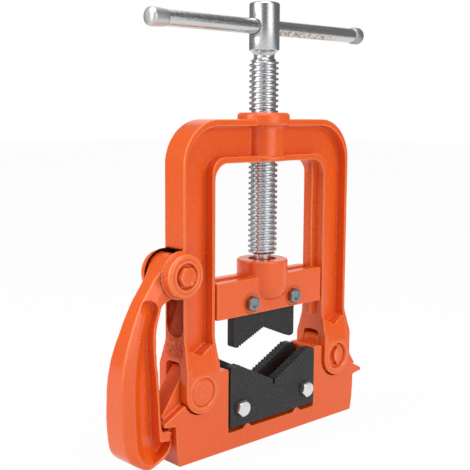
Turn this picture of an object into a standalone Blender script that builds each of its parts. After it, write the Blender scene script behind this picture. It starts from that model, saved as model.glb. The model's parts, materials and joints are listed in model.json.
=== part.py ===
"""Yoke pipe vise: a cast base with two toothed lower jaws, a yoke that hinges on
the right foot and is held shut by a swinging hook, and a screw-driven upper jaw.

X runs along the vise, Y to the back, Z up. The origin lies on the underside of the
base, under the axis of the screw.
"""

import math

import bmesh
import bpy
from mathutils import Matrix, Vector

# Fits and allowances
seat_gap = 0.0003
run_gap = 0.0004
slide_gap = 0.0006
cut_over = 0.002
weld_gap = 0.000002
edge_break = 0.0008

# Hook, drawn from its pivot in shares of its drop
hook_drop = 0.133
hook_foot_gap = 0.003
hook_low_half = 0.0125
hook_web_half = 0.0045
hook_edge_break = 0.0015
hook_shoulder = math.radians(143)
hook_heel = math.radians(-100)
hook_open = math.radians(90)
hook_face_share = -0.149
hook_seat_share = -0.8055
hook_reach_share = -0.0600
hook_depth_shares = ((0.872, 1.0), (0.571, 0.88), (0.271, 0.744), (0.11, 0.696), (-0.15, 0.696))
hook_inner_shares = (
    (-0.075, -0.112),
    (-0.109, -0.141),
    (-0.133, -0.190),
    (-0.157, -0.265),
    (-0.164, -0.368),
    (-0.161, -0.447),
    (-0.154, -0.526),
    (hook_face_share, -0.739),
    (-0.138, hook_seat_share),
)
hook_nose_shares = (
    (-0.106, -0.8105),
    (-0.091, -0.816),
    (-0.0797, -0.8225),
    (-0.0647, -0.8345),
    (hook_reach_share, -0.850),
    (-0.0610, -0.878),
    (-0.0700, -0.918),
    (-0.0940, -0.952),
    (-0.1610, -0.983),
    (-0.2260, -1.0),
)
hook_outer_shares = (
    (-0.269, -0.972),
    (-0.302, -0.943),
    (-0.344, -0.892),
    (-0.364, -0.800),
    (-0.372, -0.711),
    (-0.372, -0.626),
    (-0.365, -0.541),
    (-0.354, -0.459),
    (-0.335, -0.377),
    (-0.308, -0.298),
    (-0.275, -0.218),
    (-0.233, -0.141),
    (-0.185, -0.062),
)
hook_recess_shares = (
    (-0.160, -0.122),
    (-0.166, -0.170),
    (-0.179, -0.265),
    (-0.186, -0.368),
    (-0.182, -0.447),
    (-0.176, -0.526),
    (-0.170, -0.739),
    (-0.160, -0.852),
    (-0.090, -0.865),
    (-0.098, -0.905),
    (-0.130, -0.936),
    (-0.200, -0.955),
    (-0.262, -0.925),
    (-0.262, -0.870),
    (-0.237, -0.823),
    (-0.233, -0.626),
    (-0.228, -0.459),
    (-0.219, -0.298),
    (-0.205, -0.170),
    (-0.185, -0.115),
)

# Pins of the feet, whose place sets every width, and the pivot of the hook
pin_x = 0.0729
pin_radius = 0.007
pin_head_radius = 0.0102
pin_head_thick = 0.003
pin_sunk = 0.0015
pivot_out = 0.016
pivot_x = -(pin_x + pivot_out)
pivot_z = hook_foot_gap + hook_drop
pivot_radius = 0.004
pivot_head_radius = 0.0072
pivot_head_thick = 0.0053
pivot_nut_radius = 0.0072
pivot_nut_thick = 0.0060
pivot_tail = 0.0012

# Noses of the base, which lie inside the hook, and the height of the pins over them
hook_seat_gap = 0.00253
hook_face_gap = 0.0022
hook_side_gap = 0.0015
nose_under_z = pivot_z + hook_seat_share * hook_drop + hook_seat_gap
nose_thick = 0.0022
nose_tip_z = nose_under_z + nose_thick
nose_tip_half = -pivot_x - hook_face_share * hook_drop - hook_face_gap
nose_root_out = 0.0009
nose_root_drop = 0.0014
nose_root_z = nose_under_z - nose_root_drop
nose_crest_angle = math.radians(-25)
base_side_half = -pivot_x - hook_reach_share * hook_drop - hook_side_gap
nose_root_half = base_side_half + nose_root_out
pin_over_nose = 0.019
pin_z = nose_under_z + pin_over_nose

# Base casting
base_half_depth = 0.0133
base_side_z = 0.011
base_foot_taper = 0.0021
rail_top = 0.013
foot_round = 0.0154
foot_seat_gap = 0.0013
seat_radius = foot_round + foot_seat_gap
upright_outer = pin_x - seat_radius
upright_wide = 0.0096
upright_rise = 0.0116
upright_round = 0.0016
upright_top = pin_z + upright_rise
pocket_half = upright_outer - upright_wide
nub_in = 0.0196
nub_x = pocket_half - nub_in
nub_half = 0.003
nub_proud = 0.0034
web_half_depth = 0.0064
web_bury = 0.004
lug_half_depth = 0.0075
lug_in = 0.0154
lug_out = 0.0101
lug_rise = 0.0186
lug_toe_in = 0.0016
lug_toe_up = 0.0038
lug_round = 0.003
notch_flare = 0.0022
mount_hole_out = 0.0021
mount_hole_x = pin_x + mount_hole_out
mount_hole_radius = 0.0053
mount_hole_depth = 0.022

# Feet of the yoke, forked round the lugs of the base
foot_half_depth = 0.0158
lug_swing_gap = 0.00094
slot_top = pin_z + math.hypot(lug_out, lug_rise) + lug_swing_gap
slot_half = lug_half_depth + slide_gap
slot_round = 0.0035
flare_start = 0.0181
flare_tall = 0.019
flare_foot = pin_z + flare_start
flare_top = flare_foot + flare_tall
cheek_deep = 0.0012
cheek_start = 0.0136
cheek_low = pin_z + cheek_start
cheek_in = 0.0003

# Yoke casting
yoke_out = 0.0139
yoke_half = pin_x + yoke_out
yoke_half_depth = 0.01067
yoke_top = 0.2431
yoke_round = 0.032
window_in = 0.0152
window_half = pin_x - window_in
crossbar_tall = 0.0312
window_top = yoke_top - crossbar_tall
window_round = 0.012
outer_flange = 0.0027
inner_flange = 0.0027
top_flange = 0.0048
bottom_flange = 0.0045
yoke_web_half = 0.00265
recess_draft = 0.0018
recess_apex_wall = 0.0035
recess_apex = slot_top + recess_apex_wall
recess_slant = 0.0066
recess_low = recess_apex + recess_slant
rib_half = 0.0025
rib_proud = 0.0048
rib_over_pin = 0.0356
rib_low = pin_z + rib_over_pin
screw_boss_radius = 0.0158
boss_lip_radius = 0.0176
boss_lip_tall = 0.0036
collar_radius = 0.01975
collar_sunk = 0.0051
collar_proud = 0.0051
collar_low = yoke_top - collar_sunk
collar_top = yoke_top + collar_proud
screw_bore_gap = 0.0004

# Ears of the hook on the yoke's left leg, and the pocket in the leg below them
ear_radius = 0.0155
ear_half_depth = 0.0165
ear_wall = 0.0016
ear_chamfer = 0.0015
eye_radius = 0.0145
eye_half = 0.0087
pivot_spot_radius = 0.0093
pivot_spot_depth = 0.0030
leg_pocket_half = 0.0087
leg_pocket_over_pin = 0.0401
leg_pocket_low = pin_z + leg_pocket_over_pin
leg_pocket_deep = 0.0019

# Hexagon bolts that hold the jaws
bolt_radius = 0.003175
bolt_head_radius = 0.0064
bolt_head_thick = 0.0044
bolt_nut_thick = 0.0056
bolt_tail = 0.0012

# Lower jaws, which stand on the web between the base's uprights
jaw_side_gap = 0.0011
jaw_foot_gap = 0.0037
jaw_over_upright = 0.0005
lower_half = pocket_half - jaw_side_gap
lower_low = rail_top + jaw_foot_gap
lower_top = upright_top + jaw_over_upright
lower_land = 0.0075
lower_round = 0.0035
lower_front = 0.0143
lower_bolt_in = 0.0106
lower_bolt_x = lower_half - lower_bolt_in
lower_bolt_up = 0.0138
lower_bolt_z = lower_low + lower_bolt_up
lower_turn = math.radians(17)
web_over_bolts = 0.0075
web_top = lower_bolt_z + web_over_bolts
slot_over_web = 0.0005
lower_slot_low = web_top + slot_over_web
lower_slot_half = 0.0011
lower_slot_deep = 0.0055
lower_v = lower_slot_low + lower_slot_deep
lower_teeth = 12
tooth_deep = 0.0011

# Carrier casting
carrier_low = 0.0988
carrier_tall = 0.027
carrier_top = carrier_low + carrier_tall
carrier_side_gap = 0.0032
carrier_half = window_half - carrier_side_gap
carrier_half_depth = 0.012
carrier_round = 0.0012
rib_groove_deep = 0.0034
top_groove_half = 0.0045
top_groove_deep = 0.002
boss_radius = 0.0195
boss_proud = 0.0117
boss_top = carrier_top + boss_proud
boss_up = 0.0082
boss_low = carrier_low + boss_up
boss_bulge = 0.012
boss_bulge_shares = ((1.0, 1.0), (0.96, 0.5), (0.84, 0.2), (0.62, 0.0))
counterbore_radius = 0.0105

# Upper jaw, held in the carrier's slot by two bolts in spot faces
upper_bolt_out = 0.0029
upper_bolt_x = boss_radius + upper_bolt_out
upper_bolt_up = 0.0084
upper_bolt_z = carrier_low + upper_bolt_up
upper_end = 0.0101
upper_half = upper_bolt_x + upper_end
upper_half_depth = 0.0035
upper_rise = 0.0177
upper_top = carrier_low + upper_rise
upper_side = 0.0233
upper_side_low = carrier_low - upper_side
upper_tip = 0.0028
upper_tip_low = upper_side_low - upper_tip
upper_tip_in = 0.0025
upper_tip_half = upper_half - upper_tip_in
upper_tip_flat = 0.0025
upper_v_deep = 0.0115
upper_apex = upper_tip_low + upper_v_deep
upper_notch_gap = 0.001
upper_notch_half = counterbore_radius + upper_notch_gap
upper_notch_up = 0.0112
upper_notch_low = carrier_low + upper_notch_up
upper_teeth = 12
spot_radius = 0.0083
spot_deep = 0.0008

# Screw, with what holds it in the carrier, and its handle
screw_radius = 0.011
screw_chamfer = 0.0012
screw_under = 0.0039
screw_low = boss_top + screw_under
screw_proud = 0.0388
screw_high = collar_top + screw_proud
neck_radius = 0.0082
neck_tall = 0.0066
head_low = screw_high + neck_tall
head_radius = 0.01135
head_round = 0.0014
bar_rise = 0.0174
bar_z = head_low + bar_rise
head_over_bar = 0.0187
head_high = bar_z + head_over_bar
bar_radius = 0.0057
bar_gap = 0.0004
bar_left = -0.109
bar_right = 0.1163
swage_left = 0.020
swage_right = 0.015
swage_left_radius = 0.0074
swage_right_radius = 0.0068
swage_round = 0.0012
journal_radius = 0.0065
journal_low = upper_notch_low + seat_gap
journal_gap = 0.0003
journal_tail = 0.0033
ring_radius = 0.0097
ring_thick = 0.0016
ring_groove = 0.0009
ring_bottom = journal_low + journal_tail
ring_top = ring_bottom + ring_thick
groove_radius = journal_radius - ring_groove
washer_radius = 0.0103
washer_thick = 0.0022
washer_bottom = ring_top + seat_gap
washer_top = washer_bottom + washer_thick
washer_seat = washer_top + seat_gap

# Finishes, as colour, roughness and metallic value
enamel = ((0.78, 0.125, 0.022), 0.32, 0.0)
zinc = ((0.62, 0.62, 0.60), 0.3, 1.0)
cast_black = ((0.045, 0.045, 0.047), 0.6, 0.3)


def clear_scene():
    for old in list(bpy.data.objects):
        bpy.data.objects.remove(old, do_unlink=True)


def new_collection(name):
    made = bpy.data.collections.new(name)
    bpy.context.scene.collection.children.link(made)
    return made


def new_material(name, finish):
    colour, roughness, metallic = finish
    made = bpy.data.materials.new(name)
    made.use_nodes = True
    shader = made.node_tree.nodes["Principled BSDF"]
    shader.inputs["Base Color"].default_value = (*colour, 1.0)
    shader.inputs["Roughness"].default_value = roughness
    shader.inputs["Metallic"].default_value = metallic
    made.diffuse_color = (*colour, 1.0)
    return made


def move_to(obj, collection):
    for holder in list(obj.users_collection):
        holder.objects.unlink(obj)
    collection.objects.link(obj)
    return obj


def finish_part(obj, name, finish):
    """Names a part, files it with the vise and gives it a material of its own."""
    obj.name = name
    obj.data.name = name
    move_to(obj, vise)
    obj.data.materials.clear()
    obj.data.materials.append(new_material(name + "_finish", finish))
    return obj


def make_cutter(obj, name):
    obj.name = name
    move_to(obj, cutters)
    obj.hide_render = True
    obj.display_type = "WIRE"
    return obj


def combine(target, tool, operation):
    change = target.modifiers.new(tool.name, "BOOLEAN")
    change.operation = operation
    change.solver = "EXACT"
    change.object = make_cutter(tool, tool.name)
    return target


def cut(target, *tools):
    for tool in tools:
        combine(target, tool, "DIFFERENCE")
    return target


def join(target, *tools):
    for tool in tools:
        combine(target, tool, "UNION")
    return target


def soften(obj, width, segments=1):
    """Breaks the sharp edges of an object that has no joins or cuts yet."""
    bevel = obj.modifiers.new("edge", "BEVEL")
    bevel.width = width
    bevel.segments = segments
    bevel.limit_method = "ANGLE"
    bevel.angle_limit = math.radians(40)
    return obj


def smooth(obj):
    obj.data.shade_smooth()
    obj.data.set_sharp_from_angle(angle=math.radians(32))
    return obj


def arc(centre, radius, start, end, steps):
    """Points of an arc about a centre, from one angle to another."""
    return [
        (
            centre[0] + radius * math.cos(start + (end - start) * step / steps),
            centre[1] + radius * math.sin(start + (end - start) * step / steps),
        )
        for step in range(steps + 1)
    ]


def rounded(corners, steps=4):
    """Outline through corners of (x, z, radius), each rounded to its radius."""
    points = []
    for index, (x, z, radius) in enumerate(corners):
        here = Vector((x, z))
        if radius == 0:
            points.append((x, z))
            continue
        back = (Vector(corners[index - 1][:2]) - here).normalized()
        ahead = (Vector(corners[(index + 1) % len(corners)][:2]) - here).normalized()
        half = back.angle(ahead) / 2
        centre = here + (back + ahead).normalized() * (radius / math.sin(half))
        first = here + back * (radius / math.tan(half)) - centre
        last = here + ahead * (radius / math.tan(half)) - centre
        turn = first.angle_signed(last)
        for step in range(steps + 1):
            spoke = first.copy()
            spoke.rotate(Matrix.Rotation(-turn * step / steps, 2))
            points.append((centre.x + spoke.x, centre.y + spoke.y))
    return points


def mirrored(points):
    """The points and, in turn, their images on the other side of the middle."""
    return list(points) + [(-x, z) for x, z in reversed(points)]


def circle(centre, radius, steps=24):
    return arc(centre, radius, 0, 2 * math.pi, steps)[:-1]


def plate(name, outline, half, middle=0.0, holes=()):
    """Flat plate from an outline in X and Z, half its thickness each way in Y."""
    curve = bpy.data.curves.new(name, "CURVE")
    curve.dimensions = "2D"
    curve.fill_mode = "BOTH"
    curve.extrude = half
    for loop in (outline, *holes):
        spline = curve.splines.new("POLY")
        spline.points.add(len(loop) - 1)
        for point, (x, z) in zip(spline.points, loop):
            point.co = (x, z, 0, 1)
        spline.use_cyclic_u = True
    drawn = bpy.data.objects.new(name, curve)
    bpy.context.scene.collection.objects.link(drawn)
    drawn.location = (0, middle, 0)
    drawn.rotation_euler = (math.pi / 2, 0, 0)
    return to_mesh(drawn, name)


def to_mesh(drawn, name):
    """Swaps a curve object for a mesh object in the same place."""
    bpy.context.view_layer.update()
    graph = bpy.context.evaluated_depsgraph_get()
    mesh = bpy.data.meshes.new_from_object(drawn.evaluated_get(graph))
    solid = bmesh.new()
    solid.from_mesh(mesh)
    bmesh.ops.remove_doubles(solid, verts=solid.verts, dist=weld_gap)
    bmesh.ops.dissolve_limit(
        solid, angle_limit=math.radians(0.5), verts=solid.verts, edges=solid.edges
    )
    bmesh.ops.recalc_face_normals(solid, faces=solid.faces)
    solid.to_mesh(mesh)
    solid.free()
    made = bpy.data.objects.new(name, mesh)
    made.matrix_world = drawn.matrix_world
    bpy.context.scene.collection.objects.link(made)
    bpy.data.objects.remove(drawn, do_unlink=True)
    made.name = name
    return made


def cylinder(name, radius, start, end, along, steps=32, turn=0.0):
    """Round bar between two places on an axis that runs along Y or Z."""
    middle = (Vector(start) + Vector(end)) / 2
    length = (Vector(end) - Vector(start)).length
    bpy.ops.mesh.primitive_cylinder_add(
        vertices=steps, radius=radius, depth=length, location=middle
    )
    made = bpy.context.active_object
    made.name = name
    if along == "Y":
        made.rotation_euler = (math.pi / 2, turn, 0)
    if along == "X":
        made.rotation_euler = (0, math.pi / 2, 0)
    return made


def block(name, low, high):
    """Box between two corners."""
    size = Vector(high) - Vector(low)
    bpy.ops.mesh.primitive_cube_add(size=1, location=(Vector(low) + Vector(high)) / 2)
    made = bpy.context.active_object
    made.name = name
    made.data.transform(Matrix.Diagonal((*size, 1)))
    return made


def turned(name, profile, steps=32, closed=False):
    """Turned shape from a profile of (radius, height), top to bottom."""
    mesh = bpy.data.meshes.new(name)
    made = bpy.data.objects.new(name, mesh)
    bpy.context.scene.collection.objects.link(made)
    drawn = bmesh.new()
    spots = [drawn.verts.new((radius, 0, height)) for radius, height in profile]
    for upper, lower in zip(spots, spots[1:]):
        drawn.edges.new((upper, lower))
    if closed:
        drawn.edges.new((spots[-1], spots[0]))
    drawn.to_mesh(mesh)
    drawn.free()
    screw = made.modifiers.new("turn", "SCREW")
    screw.steps = steps
    screw.render_steps = steps
    screw.use_merge_vertices = True
    screw.merge_threshold = weld_gap
    return made


def frozen(obj):
    """The object with its modifiers worked into a new mesh."""
    bpy.context.view_layer.update()
    graph = bpy.context.evaluated_depsgraph_get()
    mesh = bpy.data.meshes.new_from_object(obj.evaluated_get(graph))
    obj.modifiers.clear()
    obj.data = mesh
    return obj


def hex_bolt(name, place, turn, length, radius, head_radius, head_thick, finish):
    """Hexagon bolt whose head faces the front; place is under its head."""
    x, y, z = place
    head = cylinder(
        name, head_radius, (x, y - head_thick, z), (x, y, z), "Y", 6, turn
    )
    shank = cylinder(
        name + "_shank", radius, (x, y - head_thick / 2, z), (x, y + length, z), "Y", 16
    )
    return finish_part(join(head, shank), name, finish)


def hex_nut(name, place, turn, thick, radius, head_radius, finish):
    """Hexagon nut; place is the middle of the face that it bears with."""
    x, y, z = place
    nut = cylinder(name, head_radius, (x, y, z), (x, y + thick, z), "Y", 6, turn)
    hole = cylinder(
        name + "_hole",
        radius + seat_gap,
        (x, y - cut_over, z),
        (x, y + thick + cut_over, z),
        "Y",
        16,
    )
    return finish_part(cut(nut, hole), name, finish)


def toothed(start, end, count, depth):
    """Saw-tooth line between two points; the teeth stand on the line's left."""
    run = Vector(end) - Vector(start)
    side = Vector((-run.y, run.x)).normalized() * depth
    points = []
    for tooth in range(count):
        root = Vector(start) + run * tooth / count
        tip = Vector(start) + run * (tooth + 0.5) / count + side
        points += [tuple(root), tuple(tip)]
    return points + [tuple(end)]


clear_scene()
vise = new_collection("pipe_vise")
cutters = new_collection("cutters")

# Base casting: frame of full depth with seats for the feet, a web for the jaws and
# a lug in each seat for the foot's pin
crest = (
    pin_x + seat_radius * math.cos(nose_crest_angle),
    pin_z + seat_radius * math.sin(nose_crest_angle),
)
frame_right = [
    (nub_x - nub_half, rail_top),
    (nub_x - nub_half / 2, rail_top + nub_proud),
    (nub_x + nub_half / 2, rail_top + nub_proud),
    (nub_x + nub_half, rail_top),
    (pocket_half, rail_top),
    (pocket_half, upright_top - upright_round),
    (pocket_half + upright_round, upright_top),
    (upright_outer - upright_round, upright_top),
    (upright_outer, upright_top - upright_round),
]
frame_right += arc((pin_x, pin_z), seat_radius, math.pi, 2 * math.pi + nose_crest_angle, 14)
frame_right += [
    (nose_tip_half, nose_tip_z),
    (nose_tip_half, nose_under_z),
    (nose_root_half, nose_root_z),
    (base_side_half, base_side_z),
    (base_side_half - base_foot_taper, 0),
]
base = plate("base_casting", mirrored(frame_right), base_half_depth)
soften(base, edge_break)

web = plate(
    "base_web",
    mirrored([(pocket_half + web_bury, web_bury), (pocket_half + web_bury, web_top)]),
    web_half_depth,
)
join(base, soften(web, edge_break))
lug_top = pin_z + lug_rise
lug_right = [(pocket_half + web_bury, web_bury)]
lug_right += [(pocket_half + web_bury, upright_top - upright_round - edge_break)]
lug_right += rounded(
    [
        (pin_x - lug_in, upright_top - upright_round - edge_break, 0),
        (pin_x - lug_in, lug_top, lug_round),
        (pin_x + lug_out, lug_top, lug_round),
        (nose_tip_half - lug_toe_in, nose_tip_z + lug_toe_up, 0),
    ]
)
lug_right += [
    (base_side_half - web_bury, base_side_z + web_bury),
    (base_side_half - base_foot_taper - web_bury, web_bury),
]
for side, word in ((-1, "left"), (1, "right")):
    lug = plate("lug_" + word, [(side * x, z) for x, z in lug_right], lug_half_depth)
    join(base, soften(lug, edge_break))
pin_seat = pin_radius + run_gap
right_bore = cylinder(
    "right_bore",
    pin_seat,
    (pin_x, -lug_half_depth - cut_over, pin_z),
    (pin_x, lug_half_depth + cut_over, pin_z),
    "Y",
    32,
)
notch_outline = arc((-pin_x, pin_z), pin_seat, math.pi, 2 * math.pi, 14)
notch_outline += [
    (-pin_x + pin_seat + notch_flare, lug_top + cut_over),
    (-pin_x - pin_seat, lug_top + cut_over),
]
left_notch = plate("left_notch", notch_outline, lug_half_depth + cut_over)
cut(base, right_bore, left_notch)
for side, word in ((-1, "left"), (1, "right")):
    jaw_hole = cylinder(
        "web_hole_" + word,
        bolt_radius + seat_gap,
        (side * lower_bolt_x, -web_half_depth - cut_over, lower_bolt_z),
        (side * lower_bolt_x, web_half_depth + cut_over, lower_bolt_z),
        "Y",
        16,
    )
    mount_hole = cylinder(
        "mount_hole_" + word,
        mount_hole_radius,
        (side * mount_hole_x, 0, -cut_over),
        (side * mount_hole_x, 0, mount_hole_depth),
        "Z",
        24,
    )
    cut(base, jaw_hole, mount_hole)
finish_part(base, "base_casting", enamel)

# Lower jaws: two toothed plates, one on each side of the web
v_reach = lower_half - lower_land
jaw_right = [(lower_slot_half, lower_slot_low)]
jaw_right += toothed(
    (lower_slot_half, lower_v), (v_reach, lower_top), lower_teeth, tooth_deep
)
jaw_right += arc(
    (lower_half - lower_round, lower_top - lower_round), lower_round, math.pi / 2, 0, 4
)
jaw_right += [(lower_half, lower_low)]
jaw_thick = lower_front - web_half_depth - seat_gap
bolt_holes = [
    circle((side * lower_bolt_x, lower_bolt_z), bolt_radius + seat_gap, 16)
    for side in (-1, 1)
]
for facing, word in ((-1, "front"), (1, "rear")):
    jaw = plate(
        "lower_jaw_" + word,
        mirrored(jaw_right),
        jaw_thick / 2,
        facing * (lower_front - jaw_thick / 2),
        bolt_holes,
    )
    finish_part(jaw, "lower_jaw_" + word, cast_black)
for side, word in ((-1, "left"), (1, "right")):
    hex_bolt(
        "lower_jaw_bolt_" + word,
        (side * lower_bolt_x, -lower_front - seat_gap, lower_bolt_z),
        lower_turn,
        2 * lower_front + 2 * seat_gap + bolt_nut_thick + bolt_tail,
        bolt_radius,
        bolt_head_radius,
        bolt_head_thick,
        zinc,
    )
    hex_nut(
        "lower_jaw_nut_" + word,
        (side * lower_bolt_x, lower_front + seat_gap, lower_bolt_z),
        0.0,
        bolt_nut_thick,
        bolt_radius,
        bolt_head_radius,
        zinc,
    )

# Yoke casting: arch with a recess in each face, forked feet, ears and screw boss
outer_run = rounded(
    [(0, yoke_top, 0), (yoke_half, yoke_top, yoke_round), (yoke_half, pin_z, 0)], 8
)[1:]
inner_run = rounded(
    [(window_half, pin_z, 0), (window_half, window_top, window_round), (0, window_top, 0)], 5
)[:-1]
yoke = plate("yoke_casting", mirrored(outer_run + inner_run), yoke_half_depth)
soften(yoke, edge_break)

foot_outline = arc((pin_x, pin_z), foot_round, math.pi, 2 * math.pi, 16)
foot_outline += [
    (pin_x + foot_round, flare_foot),
    (yoke_half - edge_break, flare_top + edge_break),
    (window_half + edge_break, flare_top + edge_break),
    (pin_x - foot_round, flare_foot),
]
for side, word in ((-1, "left"), (1, "right")):
    foot = plate(
        "foot_" + word, [(side * x, z) for x, z in foot_outline], foot_half_depth
    )
    for facing in (-1, 1):
        wedge = plate(
            "flare_" + word + str(facing),
            [
                (facing * foot_half_depth, flare_foot),
                (facing * (yoke_half_depth - edge_break), flare_top + 2 * edge_break),
                (facing * (foot_half_depth + cut_over), flare_top + 2 * edge_break),
            ],
            foot_round + cut_over,
        )
        wedge.rotation_euler = (math.pi / 2, 0, math.pi / 2)
        wedge.location = (side * pin_x, 0, 0)
        cut(foot, wedge)
    join(yoke, foot)

# Recesses between the flanges, front and back, which run out through the feet in a
# point, and the shallow hollows below them
recess_side = yoke_half - outer_flange
recess_outer = rounded(
    [
        (0, yoke_top - top_flange, 0),
        (recess_side, yoke_top - top_flange, yoke_round - outer_flange),
        (recess_side, recess_low, 0),
    ],
    8,
)[1:]
recess_inner = [((recess_side + window_half + inner_flange) / 2, recess_apex)]
recess_inner += rounded(
    [
        (window_half + inner_flange, recess_low, 0),
        (window_half + inner_flange, window_top + bottom_flange, window_round),
        (0, window_top + bottom_flange, 0),
    ],
    5,
)[:-1]
flare_lean = (foot_half_depth - yoke_half_depth) / flare_tall
cheek_floor = foot_half_depth - flare_lean * (recess_low - flare_foot) - cheek_deep
cheek_middle = (recess_side + window_half + inner_flange) / 2
cheek_half = (recess_side - window_half - inner_flange) / 2 - cheek_in
for facing, word in ((-1, "front"), (1, "back")):
    recess = plate(
        "recess_" + word,
        mirrored(recess_outer + recess_inner),
        (foot_half_depth + cut_over - yoke_web_half) / 2,
        facing * (foot_half_depth + cut_over + yoke_web_half) / 2,
    )
    soften(recess, recess_draft)
    cut(yoke, recess)
    for side, leg in ((-1, "left"), (1, "right")):
        cheek = plate(
            "cheek_" + leg + "_" + word,
            [
                (facing * foot_half_depth, cheek_low),
                (facing * cheek_floor, recess_low),
                (facing * (foot_half_depth + cut_over), recess_low),
                (facing * (foot_half_depth + cut_over), cheek_low),
            ],
            cheek_half,
        )
        cheek.rotation_euler = (math.pi / 2, 0, math.pi / 2)
        cheek.location = (side * cheek_middle, 0, 0)
        cut(yoke, cheek)

# Boss and collar of the screw, and the guide ribs inside the window
screw_boss = cylinder(
    "screw_boss",
    screw_boss_radius,
    (0, 0, window_top + edge_break),
    (0, 0, collar_low + edge_break),
    "Z",
    40,
)
boss_lip = soften(
    cylinder(
        "boss_lip",
        boss_lip_radius,
        (0, 0, window_top + seat_gap),
        (0, 0, window_top + seat_gap + boss_lip_tall),
        "Z",
        40,
    ),
    edge_break,
)
collar = soften(
    cylinder("collar", collar_radius, (0, 0, collar_low), (0, 0, collar_top), "Z", 40),
    edge_break,
)
join(yoke, screw_boss, boss_lip, collar)
for side, word in ((-1, "left"), (1, "right")):
    low = (min(side * (window_half - rib_proud), side * (window_half + edge_break)), -rib_half, rib_low)
    high = (
        max(side * (window_half - rib_proud), side * (window_half + edge_break)),
        rib_half,
        window_top + edge_break,
    )
    join(yoke, soften(block("rib_" + word, low, high), edge_break / 2))

# Ears for the hook, its slot between them and the pocket below
ears = soften(
    cylinder(
        "ears",
        ear_radius,
        (pivot_x, -ear_half_depth, pivot_z),
        (pivot_x, ear_half_depth, pivot_z),
        "Y",
        40,
    ),
    ear_chamfer,
)
ear_wall_ring = cylinder(
    "ear_wall_ring",
    eye_radius + run_gap + ear_wall,
    (pivot_x, -yoke_half_depth + edge_break, pivot_z),
    (pivot_x, yoke_half_depth - edge_break, pivot_z),
    "Y",
    40,
)
join(yoke, ear_wall_ring, ears)
slot_radius = eye_radius + run_gap
mouth = hook_shoulder - hook_open
mouth_reach = 2 * ear_radius
slot_outline = [
    (
        pivot_x + slot_radius * math.cos(mouth) - mouth_reach * math.sin(mouth),
        pivot_z + slot_radius * math.sin(mouth) + mouth_reach * math.cos(mouth),
    )
]
slot_outline += arc((pivot_x, pivot_z), slot_radius, mouth, -math.pi / 2, 14)
slot_outline += [
    (pivot_x, pivot_z - slot_radius - ear_wall - cut_over),
    (pivot_x - mouth_reach, pivot_z - slot_radius - ear_wall - cut_over),
]
ear_slot = plate("ear_slot", slot_outline, eye_half + run_gap)
leg_pocket = soften(
    block(
        "leg_pocket",
        (-yoke_half - cut_over, -leg_pocket_half, leg_pocket_low),
        (-yoke_half + leg_pocket_deep, leg_pocket_half, pivot_z),
    ),
    leg_pocket_deep / 2,
    2,
)
pivot_bore = cylinder(
    "pivot_bore",
    pivot_radius + seat_gap,
    (pivot_x, -ear_half_depth - cut_over, pivot_z),
    (pivot_x, ear_half_depth + cut_over, pivot_z),
    "Y",
    24,
)
cut(yoke, ear_slot, leg_pocket, pivot_bore)
for facing, word in ((-1, "front"), (1, "rear")):
    spot = cylinder(
        "pivot_spot_" + word,
        pivot_spot_radius,
        (pivot_x, facing * (ear_half_depth + cut_over), pivot_z),
        (pivot_x, facing * (ear_half_depth - pivot_spot_depth), pivot_z),
        "Y",
        32,
    )
    cut(yoke, spot)

# Bores of the feet, and the slots in them that straddle the lugs of the base
fork_outline = rounded(
    [
        (-slot_half, pin_z - foot_round - cut_over, 0),
        (-slot_half, slot_top, slot_round),
        (slot_half, slot_top, slot_round),
        (slot_half, pin_z - foot_round - cut_over, 0),
    ]
)
for side, word in ((-1, "left"), (1, "right")):
    slot = plate("foot_slot_" + word, fork_outline, foot_round + cut_over)
    slot.rotation_euler = (math.pi / 2, 0, math.pi / 2)
    slot.location = (side * pin_x, 0, 0)
    bore = cylinder(
        "foot_bore_" + word,
        pin_radius + seat_gap,
        (side * pin_x, -foot_half_depth - cut_over, pin_z),
        (side * pin_x, foot_half_depth + cut_over, pin_z),
        "Y",
        32,
    )
    sunk = pin_sunk if side > 0 else 0
    seat = cylinder(
        "pin_seat_" + word,
        pin_head_radius + seat_gap,
        (side * pin_x, -foot_half_depth - cut_over, pin_z),
        (side * pin_x, -foot_half_depth + sunk + pin_head_thick + seat_gap, pin_z),
        "Y",
        32,
    )
    cut(yoke, slot, bore, seat)
screw_bore = cylinder(
    "screw_bore",
    screw_radius + screw_bore_gap,
    (0, 0, window_top - cut_over),
    (0, 0, collar_top + cut_over),
    "Z",
    40,
)
cut(yoke, screw_bore)
finish_part(yoke, "yoke_casting", enamel)

# Foot pins: the right one is the hinge, the left one drops into the notch
for side, word in ((-1, "latch_pin"), (1, "hinge_pin")):
    sunk = pin_sunk if side > 0 else 0
    shank_end = foot_half_depth - sunk
    pin = turned(
        word,
        [
            (0, shank_end + sunk),
            (pin_radius - edge_break, shank_end + sunk),
            (pin_radius, shank_end + sunk - edge_break),
            (pin_radius, -(foot_half_depth - sunk - pin_head_thick)),
            (pin_head_radius, -(foot_half_depth - sunk - pin_head_thick)),
            (pin_head_radius, -(foot_half_depth - sunk)),
            (0, -(foot_half_depth - sunk)),
        ],
    )
    frozen(pin)
    pin.rotation_euler = (-math.pi / 2, 0, 0)
    pin.location = (side * pin_x, 0, pin_z)
    finish_part(pin, word, enamel)
    smooth(pin)

# Latch hook, thicker in Y toward its bowl, with a recess in each face


def from_pivot(shares):
    return [(pivot_x + x * hook_drop, pivot_z + z * hook_drop) for x, z in shares]


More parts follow.
